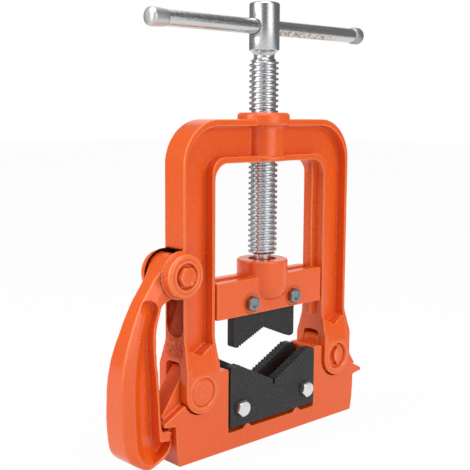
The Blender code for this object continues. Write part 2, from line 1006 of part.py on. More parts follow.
hook_outline = arc(
    (pivot_x, pivot_z), eye_radius, hook_shoulder, hook_heel, 16
)
hook_outline += from_pivot(hook_inner_shares + hook_nose_shares + hook_outer_shares)
hook = plate("latch_hook", hook_outline, hook_low_half)
for facing, word in ((-1, "front"), (1, "rear")):
    depth_line = [
        (facing * half * hook_low_half, pivot_z - drop * hook_drop)
        for drop, half in hook_depth_shares
    ]
    taper = plate(
        "hook_taper_" + word,
        depth_line
        + [
            (facing * (hook_low_half + cut_over), depth_line[-1][1]),
            (facing * (hook_low_half + cut_over), depth_line[0][1]),
        ],
        hook_drop,
    )
    taper.rotation_euler = (math.pi / 2, 0, math.pi / 2)
    taper.location = (pivot_x, 0, 0)
    cut(hook, taper)
frozen(hook)
soften(hook, hook_edge_break)
for facing, word in ((-1, "front"), (1, "rear")):
    hook_recess = plate(
        "hook_recess_" + word,
        from_pivot(hook_recess_shares),
        (hook_low_half + cut_over - hook_web_half) / 2,
        facing * (hook_low_half + cut_over + hook_web_half) / 2,
    )
    soften(hook_recess, recess_draft)
    cut(hook, hook_recess)
eye_bore = cylinder(
    "eye_bore",
    pivot_radius + seat_gap,
    (pivot_x, -eye_half - cut_over, pivot_z),
    (pivot_x, eye_half + cut_over, pivot_z),
    "Y",
    24,
)
cut(hook, eye_bore)
finish_part(hook, "latch_hook", enamel)

spot_y = ear_half_depth - pivot_spot_depth + seat_gap
hex_bolt(
    "hook_pivot_bolt",
    (pivot_x, -spot_y, pivot_z),
    0.0,
    2 * spot_y + pivot_nut_thick + pivot_tail,
    pivot_radius,
    pivot_head_radius,
    pivot_head_thick,
    enamel,
)
hex_nut(
    "hook_pivot_nut",
    (pivot_x, spot_y, pivot_z),
    0.0,
    pivot_nut_thick,
    pivot_radius,
    pivot_nut_radius,
    enamel,
)

# Carrier casting: cross bar with a boss for the screw, guided by the yoke's ribs
carrier = soften(
    block(
        "carrier_casting",
        (-carrier_half, -carrier_half_depth, carrier_low),
        (carrier_half, carrier_half_depth, carrier_top),
    ),
    carrier_round,
)
top_groove = block(
    "top_groove",
    (-carrier_half - cut_over, -top_groove_half, carrier_top - top_groove_deep),
    (carrier_half + cut_over, top_groove_half, carrier_top + cut_over),
)
cut(carrier, top_groove)
boss = turned(
    "carrier_boss",
    [
        (0, boss_top),
        (boss_radius - edge_break, boss_top),
        (boss_radius, boss_top - edge_break),
        *((boss_radius * out, boss_low + boss_bulge * up) for out, up in boss_bulge_shares),
        (0, boss_low),
    ],
    40,
)
join(carrier, boss)
jaw_slot = block(
    "jaw_slot",
    (-upper_half - seat_gap, -upper_half_depth - seat_gap, carrier_low - cut_over),
    (upper_half + seat_gap, upper_half_depth + seat_gap, upper_top + seat_gap),
)
carrier_bore = cylinder(
    "carrier_bore",
    journal_radius + journal_gap,
    (0, 0, carrier_low),
    (0, 0, boss_top + cut_over),
    "Z",
    32,
)
counterbore = cylinder(
    "counterbore",
    counterbore_radius,
    (0, 0, carrier_low - cut_over),
    (0, 0, washer_seat),
    "Z",
    32,
)
cut(carrier, jaw_slot, carrier_bore, counterbore)
groove_half = rib_half + slide_gap
for side, word in ((-1, "left"), (1, "right")):
    ends = sorted((side * (carrier_half - rib_groove_deep), side * (carrier_half + cut_over)))
    rib_groove = block(
        "rib_groove_" + word,
        (ends[0], -groove_half, carrier_low - cut_over),
        (ends[1], groove_half, carrier_top + cut_over),
    )
    jaw_bore = cylinder(
        "jaw_bore_" + word,
        bolt_radius + seat_gap,
        (side * upper_bolt_x, -carrier_half_depth - cut_over, upper_bolt_z),
        (side * upper_bolt_x, carrier_half_depth + cut_over, upper_bolt_z),
        "Y",
        16,
    )
    cut(carrier, rib_groove, jaw_bore)
    for facing, face in ((-1, "front"), (1, "rear")):
        spot = cylinder(
            "jaw_spot_" + word + "_" + face,
            spot_radius,
            (side * upper_bolt_x, facing * (carrier_half_depth + cut_over), upper_bolt_z),
            (side * upper_bolt_x, facing * (carrier_half_depth - spot_deep), upper_bolt_z),
            "Y",
            24,
        )
        cut(carrier, spot)
finish_part(carrier, "carrier_casting", enamel)

# Upper jaw: one toothed plate in the slot of the carrier, with the screw's end on it
upper_right = [
    (upper_notch_half, upper_notch_low),
    (upper_notch_half, upper_top),
    (upper_half, upper_top),
    (upper_half, upper_side_low),
    (upper_tip_half, upper_tip_low),
]
upper_right += toothed(
    (upper_tip_half - upper_tip_flat, upper_tip_low),
    (0, upper_apex),
    upper_teeth,
    -tooth_deep,
)[:-1]
upper_outline = upper_right + [(0, upper_apex)] + [(-x, z) for x, z in reversed(upper_right)]
upper_holes = [
    circle((side * upper_bolt_x, upper_bolt_z), bolt_radius + seat_gap, 16)
    for side in (-1, 1)
]
upper_jaw = plate("upper_jaw", upper_outline, upper_half_depth, 0.0, upper_holes)
finish_part(upper_jaw, "upper_jaw", cast_black)
spot_face = carrier_half_depth - spot_deep + seat_gap
for side, word in ((-1, "left"), (1, "right")):
    hex_bolt(
        "upper_jaw_bolt_" + word,
        (side * upper_bolt_x, -spot_face, upper_bolt_z),
        math.pi / 6,
        2 * spot_face + bolt_nut_thick + bolt_tail,
        bolt_radius,
        bolt_head_radius,
        bolt_head_thick,
        zinc,
    )
    hex_nut(
        "upper_jaw_nut_" + word,
        (side * upper_bolt_x, spot_face, upper_bolt_z),
        math.pi / 6,
        bolt_nut_thick,
        bolt_radius,
        bolt_head_radius,
        zinc,
    )

# Lead screw with its drilled head and the journal that turns in the carrier
lead_screw = turned(
    "lead_screw",
    [
        (0, head_high),
        (head_radius - head_round, head_high),
        (head_radius, head_high - head_round),
        (head_radius, head_low + edge_break),
        (head_radius - edge_break, head_low),
        (neck_radius, head_low),
        (neck_radius, screw_high),
        (screw_radius - screw_chamfer, screw_high),
        (screw_radius, screw_high - screw_chamfer),
        (screw_radius, screw_low + screw_chamfer),
        (screw_radius - screw_chamfer, screw_low),
        (journal_radius, screw_low),
        (journal_radius, ring_top + seat_gap),
        (groove_radius, ring_top + seat_gap),
        (groove_radius, ring_bottom - seat_gap),
        (journal_radius, ring_bottom - seat_gap),
        (journal_radius, journal_low + edge_break),
        (journal_radius - edge_break, journal_low),
        (0, journal_low),
    ],
    40,
)
bar_hole = cylinder(
    "bar_hole",
    bar_radius + bar_gap,
    (-head_radius - cut_over, 0, bar_z),
    (head_radius + cut_over, 0, bar_z),
    "X",
    32,
)
cut(lead_screw, bar_hole)
finish_part(lead_screw, "lead_screw", zinc)
for name, inner, outer, top, bottom in (
    ("thrust_washer", journal_radius + journal_gap, washer_radius, washer_top, washer_bottom),
    ("retaining_ring", groove_radius + journal_gap, ring_radius, ring_top, ring_bottom),
):
    ring = turned(
        name, [(outer, top), (outer, bottom), (inner, bottom), (inner, top)], 32, True
    )
    finish_part(ring, name, zinc)

# Handle bar with its swaged ends, free to slide in the head of the screw
bar_middle = (bar_left + bar_right) / 2
handle = turned(
    "handle_bar",
    [
        (0, bar_right),
        (swage_right_radius - swage_round, bar_right),
        (swage_right_radius, bar_right - swage_round),
        (swage_right_radius, bar_right - swage_right + swage_round),
        (bar_radius, bar_right - swage_right),
        (bar_radius, bar_left + swage_left),
        (swage_left_radius, bar_left + swage_left - swage_round),
        (swage_left_radius, bar_left + swage_round),
        (swage_left_radius - swage_round, bar_left),
        (0, bar_left),
    ],
    24,
)
handle.rotation_euler = (0, math.pi / 2, 0)
handle.location = (0, 0, bar_z)
finish_part(handle, "handle_bar", zinc)
for name in ("lead_screw", "thrust_washer", "retaining_ring", "handle_bar"):
    smooth(bpy.data.objects[name])
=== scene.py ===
"""Looks of the yoke pipe vise: finely shaped castings in orange enamel, a cut thread,
zinc-plated screw, bar and bolts, and black jaws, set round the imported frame."""

import json
import math

import bmesh
import bpy
from mathutils import Matrix, Vector, noise
from mathutils.kdtree import KDTree


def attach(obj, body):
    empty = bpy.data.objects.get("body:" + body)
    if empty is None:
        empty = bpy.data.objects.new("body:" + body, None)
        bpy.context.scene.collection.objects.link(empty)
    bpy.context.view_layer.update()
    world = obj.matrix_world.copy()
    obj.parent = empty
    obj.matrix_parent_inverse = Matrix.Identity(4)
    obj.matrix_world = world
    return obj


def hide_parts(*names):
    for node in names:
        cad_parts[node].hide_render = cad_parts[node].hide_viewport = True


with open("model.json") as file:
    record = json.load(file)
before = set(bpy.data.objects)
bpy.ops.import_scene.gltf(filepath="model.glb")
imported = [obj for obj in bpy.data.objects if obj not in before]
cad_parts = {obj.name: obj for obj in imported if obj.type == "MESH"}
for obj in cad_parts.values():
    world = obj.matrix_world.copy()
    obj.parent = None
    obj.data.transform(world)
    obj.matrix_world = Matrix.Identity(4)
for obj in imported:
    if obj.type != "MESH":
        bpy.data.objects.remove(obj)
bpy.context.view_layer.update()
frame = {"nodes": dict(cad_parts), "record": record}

# ---------------------------------------------------------------- camera
camera_data = bpy.data.cameras.new("camera")
camera = bpy.data.objects.new("camera", camera_data)
bpy.context.scene.collection.objects.link(camera)
yaw, pitch, roll = math.radians(42.918), math.radians(7.1226), math.radians(0.3168)
ahead = Vector(
    (math.sin(yaw) * math.cos(pitch), math.cos(yaw) * math.cos(pitch), -math.sin(pitch))
)
aside = Vector((math.cos(yaw), -math.sin(yaw), 0))
above = aside.cross(ahead)
right = aside * math.cos(roll) + above * math.sin(roll)
up = above * math.cos(roll) - aside * math.sin(roll)
camera.matrix_world = Matrix(
    (
        (right.x, up.x, -ahead.x, -0.476907),
        (right.y, up.y, -ahead.y, -0.476236),
        (right.z, up.z, -ahead.z, 0.247860),
        (0, 0, 0, 1),
    )
)
camera_data.sensor_width = 36
camera_data.lens = 68.137
camera_data.shift_x = 0.011166
camera_data.shift_y = -0.023671
camera_data.clip_start = 0.01
bpy.context.scene.camera = camera


# ---------------------------------------------------------------- node helpers
class Nodes:
    """Short way to write a material's nodes."""

    def __init__(self, name):
        self.made = bpy.data.materials.new(name)
        self.made.use_nodes = True
        self.tree = self.made.node_tree
        self.shader = self.tree.nodes["Principled BSDF"]
        self.place = self.tree.nodes.new("ShaderNodeTexCoord").outputs["Object"]

    def link(self, source, socket):
        self.tree.links.new(source, socket)

    def node(self, kind, inputs=None, **settings):
        made = self.tree.nodes.new(kind)
        for key, value in settings.items():
            setattr(made, key, value)
        for key, value in (inputs or {}).items():
            if isinstance(value, bpy.types.NodeSocket):
                self.link(value, made.inputs[key])
            else:
                made.inputs[key].default_value = value
        return made

    def noise(self, scale, detail=3.0, rough=0.55, where=None, distort=0.0):
        return self.node(
            "ShaderNodeTexNoise",
            {
                "Vector": where or self.place,
                "Scale": scale,
                "Detail": detail,
                "Roughness": rough,
                "Distortion": distort,
            },
        ).outputs["Fac"]

    def spread(self, value, low, high, out_low, out_high):
        return self.node(
            "ShaderNodeMapRange",
            {
                "Value": value,
                "From Min": low,
                "From Max": high,
                "To Min": out_low,
                "To Max": out_high,
            },
        ).outputs["Result"]

    def math(self, operation, one, two):
        return self.node(
            "ShaderNodeMath", {0: one, 1: two}, operation=operation
        ).outputs[0]

    def mix(self, factor, one, two, kind="MIX"):
        made = self.node("ShaderNodeMix", data_type="RGBA", blend_type=kind)
        for index, value in ((0, factor), (6, one), (7, two)):
            if isinstance(value, bpy.types.NodeSocket):
                self.link(value, made.inputs[index])
            else:
                made.inputs[index].default_value = value
        return made.outputs[2]

    def bump(self, height, strength, distance, under=None):
        inputs = {"Height": height, "Strength": strength, "Distance": distance}
        if under:
            inputs["Normal"] = under
        return self.node("ShaderNodeBump", inputs).outputs["Normal"]


EVEN = (1, 1, 1)


def enamel(name):
    """Glossy orange enamel over cast iron, with painted shade in creases, painted highlights on
    convex edges and where the mesh carries them, and painted shade and darker streaks where the
    mesh carries those.
    """
    n = Nodes(name)
    broad = n.noise(14, 3)
    fine_grain = n.noise(1100, 2)
    speck = n.noise(230, 4, 0.7)
    edge = n.node("ShaderNodeNewGeometry").outputs["Pointiness"]
    painted_shade_and_streaks = n.node("ShaderNodeAttribute", attribute_name="painted_shade_and_streaks").outputs["Fac"]
    colour = n.mix(broad, (0.775, 0.099, 0.0090, 1), (0.825, 0.117, 0.0120, 1))
    colour = n.mix(
        n.spread(speck, 0.69, 0.86, 0.0, 0.12), colour, (0.50, 0.045, 0.006, 1)
    )
    # painted shade in creases and a painted highlight on convex edges, from how pointed the mesh is
    # there
    colour = n.mix(
        n.spread(edge, 0.485, 0.42, 0.0, 0.50), colour, (0.48, 0.022, 0.004, 1)
    )
    colour = n.mix(
        n.spread(edge, 0.510, 0.560, 0.0, 0.75), colour, (0.96, 0.31, 0.105, 1)
    )
    # painted highlight where the mesh carries it, as along the hook's ridge
    painted_highlight = n.node("ShaderNodeAttribute", attribute_name="painted_highlight").outputs["Fac"]
    colour = n.mix(n.math("MULTIPLY", painted_highlight, 0.65), colour, (0.96, 0.30, 0.100, 1))
    # painted shade: dark red in the leg's pocket and near black in the hook's slot, rougher and
    # less reflective there, from the values the mesh carries, which also give the darker streaks
    # below the pocket
    darkening = n.spread(painted_shade_and_streaks, 0, 1, 0, 1)
    mottled_shade = n.math("MULTIPLY", darkening, n.spread(n.noise(240, 4, 0.7), 0.30, 0.60, 0.72, 1.0))
    colour = n.mix(mottled_shade, colour, (0.200, 0.011, 0.002, 1))
    colour = n.mix(n.spread(painted_shade_and_streaks, 1, 2, 0, 1), colour, (0.008, 0.002, 0.001, 1))
    n.link(colour, n.shader.inputs["Base Color"])
    rough = n.math("ADD", n.spread(speck, 0.3, 0.7, 0.21, 0.32), n.math("MULTIPLY", darkening, 0.4))
    n.link(rough, n.shader.inputs["Roughness"])
    skin = n.bump(n.noise(170, 2), 0.30, 0.0004)
    n.link(n.bump(fine_grain, 0.12, 0.0001, skin), n.shader.inputs["Normal"])
    n.link(n.spread(darkening, 0, 1, 0.56, 0.10), n.shader.inputs["Specular IOR Level"])
    return n.made


def plating(
    name, across=EVEN, tint=(0.62, 0.63, 0.635), dull=0.24, grain=900, darkening=0.3, stain=None
):
    """Zinc plating; across stretches the fine lines that turning leaves.

    stain, where given, is where brown stains start and end in X, and their top in Z.
    """
    n = Nodes(name)
    lines = n.node(
        "ShaderNodeMapping", {"Vector": n.place, "Scale": across}
    ).outputs["Vector"]
    lay = n.noise(grain, 3, 0.6, lines)
    cloud = n.noise(60, 3)
    mottle = n.noise(grain * 0.8, 4, 0.7)
    colour = n.mix(
        cloud,
        (tint[0] * 0.90, tint[1] * 0.90, tint[2] * 0.91, 1),
        (*[min(1, part * 1.08) for part in tint], 1),
    )
    colour = n.mix(
        n.spread(mottle, 0.54, 0.74, 0.0, darkening), colour, (0.22, 0.225, 0.23, 1)
    )
    n.shader.inputs["Metallic"].default_value = 1.0
    if stain:
        start, end, high = stain
        where = n.node("ShaderNodeSeparateXYZ", {"Vector": n.place})
        mask = n.spread(where.outputs["X"], start, start + 0.004, 0, 1)
        mask = n.math("MULTIPLY", mask, n.spread(where.outputs["X"], end, end - 0.015, 0, 1))
        mask = n.math("MULTIPLY", mask, n.spread(where.outputs["Z"], high, high - 0.0015, 0, 1))
        mask = n.math("MULTIPLY", mask, n.spread(n.noise(330, 4, 0.7), 0.46, 0.56, 0, 0.9))
        colour = n.mix(mask, colour, (0.30, 0.18, 0.08, 1))
        n.link(n.spread(mask, 0, 1, 1, 0), n.shader.inputs["Metallic"])
    n.link(colour, n.shader.inputs["Base Color"])
    n.link(n.spread(lay, 0.3, 0.7, dull - 0.06, dull + 0.10), n.shader.inputs["Roughness"])
    n.link(n.bump(lay, 0.15, 0.0001), n.shader.inputs["Normal"])
    return n.made


def oxide(name):
    """Black oxide on cast jaws, rough, with a painted highlight on the bevelled edges."""
    n = Nodes(name)
    cloud = n.noise(45, 4)
    grain = n.noise(900, 4, 0.65)
    edge = n.node("ShaderNodeAttribute", attribute_name="painted_highlight").outputs["Fac"]
    colour = n.mix(cloud, (0.014, 0.014, 0.015, 1), (0.026, 0.025, 0.026, 1))
    colour = n.mix(n.spread(grain, 0.50, 0.66, 0.0, 0.8), colour, (0.072, 0.071, 0.073, 1))
    colour = n.mix(n.spread(grain, 0.47, 0.34, 0.0, 0.9), colour, (0.003, 0.003, 0.003, 1))
    # painted highlight on the bevel strips along the edges
    colour = n.mix(n.math("MULTIPLY", edge, 0.7), colour, (0.20, 0.20, 0.205, 1))
    n.link(colour, n.shader.inputs["Base Color"])
    n.link(n.spread(grain, 0.3, 0.7, 0.42, 0.66), n.shader.inputs["Roughness"])
    n.link(n.bump(grain, 0.70, 0.0005), n.shader.inputs["Normal"])
    n.shader.inputs["Specular IOR Level"].default_value = 0.36
    return n.made


orange = enamel("orange_enamel")
steel = plating("zinc_plate")
thread_steel = plating("thread_zinc", (1, 1, 3), (0.60, 0.61, 0.62), 0.27, 700, 0.35)
head_steel = plating("head_zinc", (1, 1, 4), (0.60, 0.605, 0.61), 0.26, 600, 0.45)
under_bar = (0.010, 0.080, 0.3098)
bar_steel = plating("bar_zinc", (0.35, 1, 1), (0.66, 0.665, 0.66), 0.25, 900, 0.40, under_bar)
swage_steel = plating("swage_zinc", EVEN, (0.66, 0.655, 0.64), 0.42, 900, 0.25)
dull_steel = plating("dull_zinc", EVEN, (0.44, 0.44, 0.43), 0.48, 900, 0.25)
bright = plating("bright_zinc", EVEN, (0.80, 0.80, 0.79), 0.34, 900, 0.12)
blued = plating("blued_zinc", EVEN, (0.29, 0.32, 0.33), 0.32, 900, 0.45)
black = oxide("black_jaw")
finishes = {"orange_enamel": orange, "zinc_plate": steel, "black_jaw": black}
slots = {entry["node"]: entry["material_slot"] for entry in frame["record"]["subparts"]}
for name, node in frame["nodes"].items():
    node.data.materials.clear()
    node.data.materials.append(finishes[slots[name]])


# ---------------------------------------------------------------- shaping helpers
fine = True


def placed(name, data):
    made = bpy.data.objects.new(name, data)
    bpy.context.scene.collection.objects.link(made)
    return made


def built(name, drawn):
    """Object of what was drawn in bmesh."""
    mesh = bpy.data.meshes.new(name)
    drawn.to_mesh(mesh)
    drawn.free()
    return placed(name, mesh)


def mended(mesh, gap):
    """Merges points closer than the gap and turns the faces outward."""
    solid = bmesh.new()
    solid.from_mesh(mesh)
    bmesh.ops.remove_doubles(solid, verts=solid.verts, dist=gap)
    bmesh.ops.recalc_face_normals(solid, faces=solid.faces)
    solid.to_mesh(mesh)
    solid.free()


def worked(obj):
    """The object with its modifiers worked into its mesh."""
    bpy.context.view_layer.update()
    graph = bpy.context.evaluated_depsgraph_get()
    mesh = bpy.data.meshes.new_from_object(obj.evaluated_get(graph))
    obj.modifiers.clear()
    obj.data = mesh
    return obj


def arc(centre, radius, start, end, steps):
    return [
        (
            centre[0] + radius * math.cos(start + (end - start) * step / steps),
            centre[1] + radius * math.sin(start + (end - start) * step / steps),
        )
        for step in range(steps + 1)
    ]


def rounded(corners, steps=10):
    """Closed outline through (x, z, radius) corners, each rounded to its radius."""
    points = []
    for index, (x, z, radius) in enumerate(corners):
        here = Vector((x, z))
        if radius == 0:
            points.append((x, z))
            continue
        back = (Vector(corners[index - 1][:2]) - here).normalized()
        on = (Vector(corners[(index + 1) % len(corners)][:2]) - here).normalized()
        half = back.angle(on) / 2
        centre = here + (back + on).normalized() * (radius / math.sin(half))
        first = here + back * (radius / math.tan(half)) - centre
        last = here + on * (radius / math.tan(half)) - centre
        turn = first.angle_signed(last)
        for step in range(steps + 1):
            spoke = first.copy()
            spoke.rotate(Matrix.Rotation(-turn * step / steps, 2))
            points.append((centre.x + spoke.x, centre.y + spoke.y))
    return points


def mirrored(points):
    return list(points) + [(-x, z) for x, z in reversed(points)]


def flipped(points, side):
    return [(side * x, z) for x, z in points]


def curved(points, steps=6, closed=True):
    """Smooth line through the points, a Catmull-Rom spline."""
    made = []
    count = len(points)
    last = count if closed else count - 1
    for index in range(last):
        if closed:
            p = [Vector(points[(index + shift) % count]) for shift in (-1, 0, 1, 2)]
        else:
            p = [Vector(points[min(max(index + shift, 0), count - 1)]) for shift in (-1, 0, 1, 2)]
        for step in range(steps):
            t = step / steps
            spot = 0.5 * (
                2 * p[1]
                + (p[2] - p[0]) * t
                + (2 * p[0] - 5 * p[1] + 4 * p[2] - p[3]) * t * t
                + (3 * p[1] - p[0] - 3 * p[2] + p[3]) * t**3
            )
            made.append(tuple(spot))
    if not closed:
        made.append(tuple(points[-1]))
    return made


def prism(name, outline, half, middle=0.0, holes=(), along="Y"):
    """Solid from an outline in X and Z, or in Y and Z, drawn out both ways."""
    curve = bpy.data.curves.new(name, "CURVE")
    curve.dimensions = "2D"
    curve.fill_mode = "BOTH"
    curve.extrude = half
    for loop in (outline, *holes):
        spline = curve.splines.new("POLY")
        spline.points.add(len(loop) - 1)
        for point, (x, z) in zip(spline.points, loop):
            point.co = (x, z, 0, 1)
        spline.use_cyclic_u = True
    drawn = placed(name, curve)
    bpy.context.view_layer.update()
    graph = bpy.context.evaluated_depsgraph_get()
    mesh = bpy.data.meshes.new_from_object(drawn.evaluated_get(graph))
    bpy.data.objects.remove(drawn, do_unlink=True)
    mended(mesh, 0.000002)
    turn = Matrix.Rotation(math.pi / 2, 4, "X")
    if along == "X":
        turn = Matrix.Rotation(math.pi / 2, 4, "Z") @ turn
    shift = (0, middle, 0) if along == "Y" else (middle, 0, 0)
    mesh.transform(Matrix.Translation(shift) @ turn)
    return placed(name, mesh)


def rod(name, radius, start, end, steps=64, turn=0.0):
    """Round or six-sided bar from one point to another."""
    start, end = Vector(start), Vector(end)
    drawn = bmesh.new()
    bmesh.ops.create_cone(
        drawn,
        cap_ends=True,
        segments=steps,
        radius1=radius,
        radius2=radius,
        depth=(end - start).length,
    )
    spin = Matrix.Rotation(turn, 4, "Z")
    lean = (end - start).to_track_quat("Z", "Y").to_matrix().to_4x4()
    bmesh.ops.transform(
        drawn,
        matrix=Matrix.Translation((start + end) / 2) @ lean @ spin,
        verts=drawn.verts,
    )
    return built(name, drawn)


def peg(name, radius, x, z, start, end, steps=64):
    """Round bar along Y, from one depth to another."""
    return rod(name, radius, (x, start, z), (x, end, z), steps)


def post(name, radius, low, high, steps=96):
    """Round bar on the screw's axis."""
    return rod(name, radius, (0, 0, low), (0, 0, high), steps)


def brick(name, low, high):
    drawn = bmesh.new()
    bmesh.ops.create_cube(drawn, size=1)
    size = Vector(high) - Vector(low)
    bmesh.ops.scale(drawn, vec=size, verts=drawn.verts)
    bmesh.ops.translate(drawn, vec=(Vector(low) + Vector(high)) / 2, verts=drawn.verts)
    return built(name, drawn)


def turned(name, profile, place=(0, 0, 0), along="Z", steps=64, radius_at=None):
    """Turned solid from (radius, height) points, closed on its axis.

    radius_at, where given, gives the radius for a height and an angle instead.
    """
    drawn = bmesh.new()
    rings = []
    for radius, height in profile:
        if radius < 1e-7:
            rings.append([drawn.verts.new((0, 0, height))])
            continue
        ring = []
        for step in range(steps):
            angle = 2 * math.pi * step / steps
            out = radius_at(radius, height, angle) if radius_at else radius
            ring.append(drawn.verts.new((out * math.cos(angle), out * math.sin(angle), height)))
        rings.append(ring)
    for upper, lower in zip(rings, rings[1:]):
        for step in range(steps):
            after = (step + 1) % steps
            corners = []
            for corner in (
                upper[step % len(upper)],
                lower[step % len(lower)],
                lower[after % len(lower)],
                upper[after % len(upper)],
            ):
                if corner not in corners:
                    corners.append(corner)
            if len(corners) > 2:
                drawn.faces.new(corners)
    bmesh.ops.recalc_face_normals(drawn, faces=drawn.faces)
    turn = Matrix.Identity(4)
    if along == "X":
        turn = Matrix.Rotation(math.pi / 2, 4, "Y")
    if along == "Y":
        turn = Matrix.Rotation(-math.pi / 2, 4, "X")
    bmesh.ops.transform(drawn, matrix=Matrix.Translation(place) @ turn, verts=drawn.verts)
    return built(name, drawn)


def bevelled(obj, width, segments=3, angle=40):
    change = obj.modifiers.new("edge", "BEVEL")
    change.width = width
    change.segments = segments
    change.limit_method = "ANGLE"
    change.angle_limit = math.radians(angle)
    return worked(obj)


def carved(target, add=(), cut=(), common=()):
    """Joins, cuts and crosses closed solids, and takes the tools away."""
    for operation, tools in (("UNION", add), ("DIFFERENCE", cut), ("INTERSECT", common)):
        for tool in tools:
            change = target.modifiers.new("join", "BOOLEAN")
            change.operation = operation
            change.solver = "MANIFOLD"
            change.object = tool
    worked(target)
    for tool in (*add, *cut, *common):
        bpy.data.objects.remove(tool, do_unlink=True)
    return target


def cast(obj, voxel, passes):
    """Gives a carved solid the soft edges and fillets of a casting."""
    change = obj.modifiers.new("voxels", "REMESH")
    change.mode = "VOXEL"
    change.voxel_size = voxel if fine else voxel * 1.8
    change.use_smooth_shade = True
    ease = obj.modifiers.new("ease", "SMOOTH")
    ease.factor = 0.5
    ease.iterations = passes
    worked(obj)
    obj.data.shade_smooth()
    return obj


def crisp(obj, angle=32):
    obj.data.shade_smooth()
    obj.data.set_sharp_from_angle(angle=math.radians(angle))
    return obj


def shown(obj, body, slot, material, *nodes):
    """Dresses a piece, hangs it on its body and lets it stand for its nodes."""
    obj.data.materials.clear()
    obj.data.materials.append(material)
    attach(obj, body)
    if nodes:
        obj.name = nodes[0] + "_fine"
        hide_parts(*nodes)
    return obj


# ---------------------------------------------------------------- sizes, as in the CAD
PIN_X, PIN_Z = 0.0729, 0.0504
PIVOT_X, PIVOT_Z = -0.0889, 0.136
OVER = 0.003
LUG_HALF = 0.0075
SLOT_TOP = 0.0725
YOKE_HALF = 0.0868
WINDOW_HALF = 0.0577
YOKE_TOP = 0.2431
WINDOW_TOP = 0.2119
DEPTH = 0.01067
FOOT_DEPTH = 0.0158
FOOT_ROUND = 0.0154
LOWER_BOLT_X, LOWER_BOLT_Z = 0.0349, 0.0305
UPPER_BOLT_X, UPPER_BOLT_Z = 0.0224, 0.1072
BOLT_BORE = 0.0035
CARRIER_LOW, CARRIER_TOP, CARRIER_DEPTH = 0.0988, 0.1258, 0.012


# ---------------------------------------------------------------- base casting
def base_piece():
    seat = FOOT_ROUND + 0.0013
    crest_angle = math.radians(-25)
    crest = (PIN_X + seat * math.cos(crest_angle), PIN_Z + seat * math.sin(crest_angle))
    outer = PIN_X - seat
    nub = [(0.0224, 0.0131), (0.0252, 0.0155), (0.0270, 0.0166), (0.0288, 0.0155), (0.0316, 0.0131)]
    outline = curved(nub, 4, False)
    outline += [(0.0466, 0.013), (0.0466, 0.0604)]
    outline += [(0.0482, 0.062), (outer - 0.0016, 0.062), (outer, 0.0604)]
    outline += arc((PIN_X, PIN_Z), seat, math.pi, 2 * math.pi + crest_angle, 48)
    outline += [(0.1065, 0.0336), (0.1065, 0.0314), (0.0963, 0.030), (0.0954, 0.011), (0.0933, 0)]
    base = prism("base", mirrored(outline), 0.0133)
    adds = [prism("base_web", mirrored([(0.0506, 0.004), (0.0506, 0.038)]), 0.0064)]
    lug = [(0.0506, 0.004), (0.0506, 0.0596)]
    top = [(0.0575, 0.0596, 0), (0.0575, 0.0690, 0.003), (0.0830, 0.0690, 0.003)]
    lug += rounded(top + [(0.1049, 0.0374, 0)], 6)
    lug += [(0.0914, 0.015), (0.0893, 0.004)]
    for side in (-1, 1):
        adds.append(prism("lug", flipped(lug, side), LUG_HALF))
    notch = arc((-PIN_X, PIN_Z), 0.0074, math.pi, 2 * math.pi, 32)
    notch += [(-PIN_X + 0.0096, 0.071), (-PIN_X - 0.0074, 0.071)]
    reach = LUG_HALF + OVER
    cuts = [
        prism("notch", notch, reach),
        peg("bore", 0.0074, PIN_X, PIN_Z, -reach, reach),
    ]
    for side in (-1, 1):
        cuts.append(peg("hole", BOLT_BORE, side * LOWER_BOLT_X, LOWER_BOLT_Z, -0.01, 0.01, 32))
        cuts.append(rod("mount", 0.0053, (side * 0.075, 0, -OVER), (side * 0.075, 0, 0.022), 32))
    return carved(base, adds, cuts)


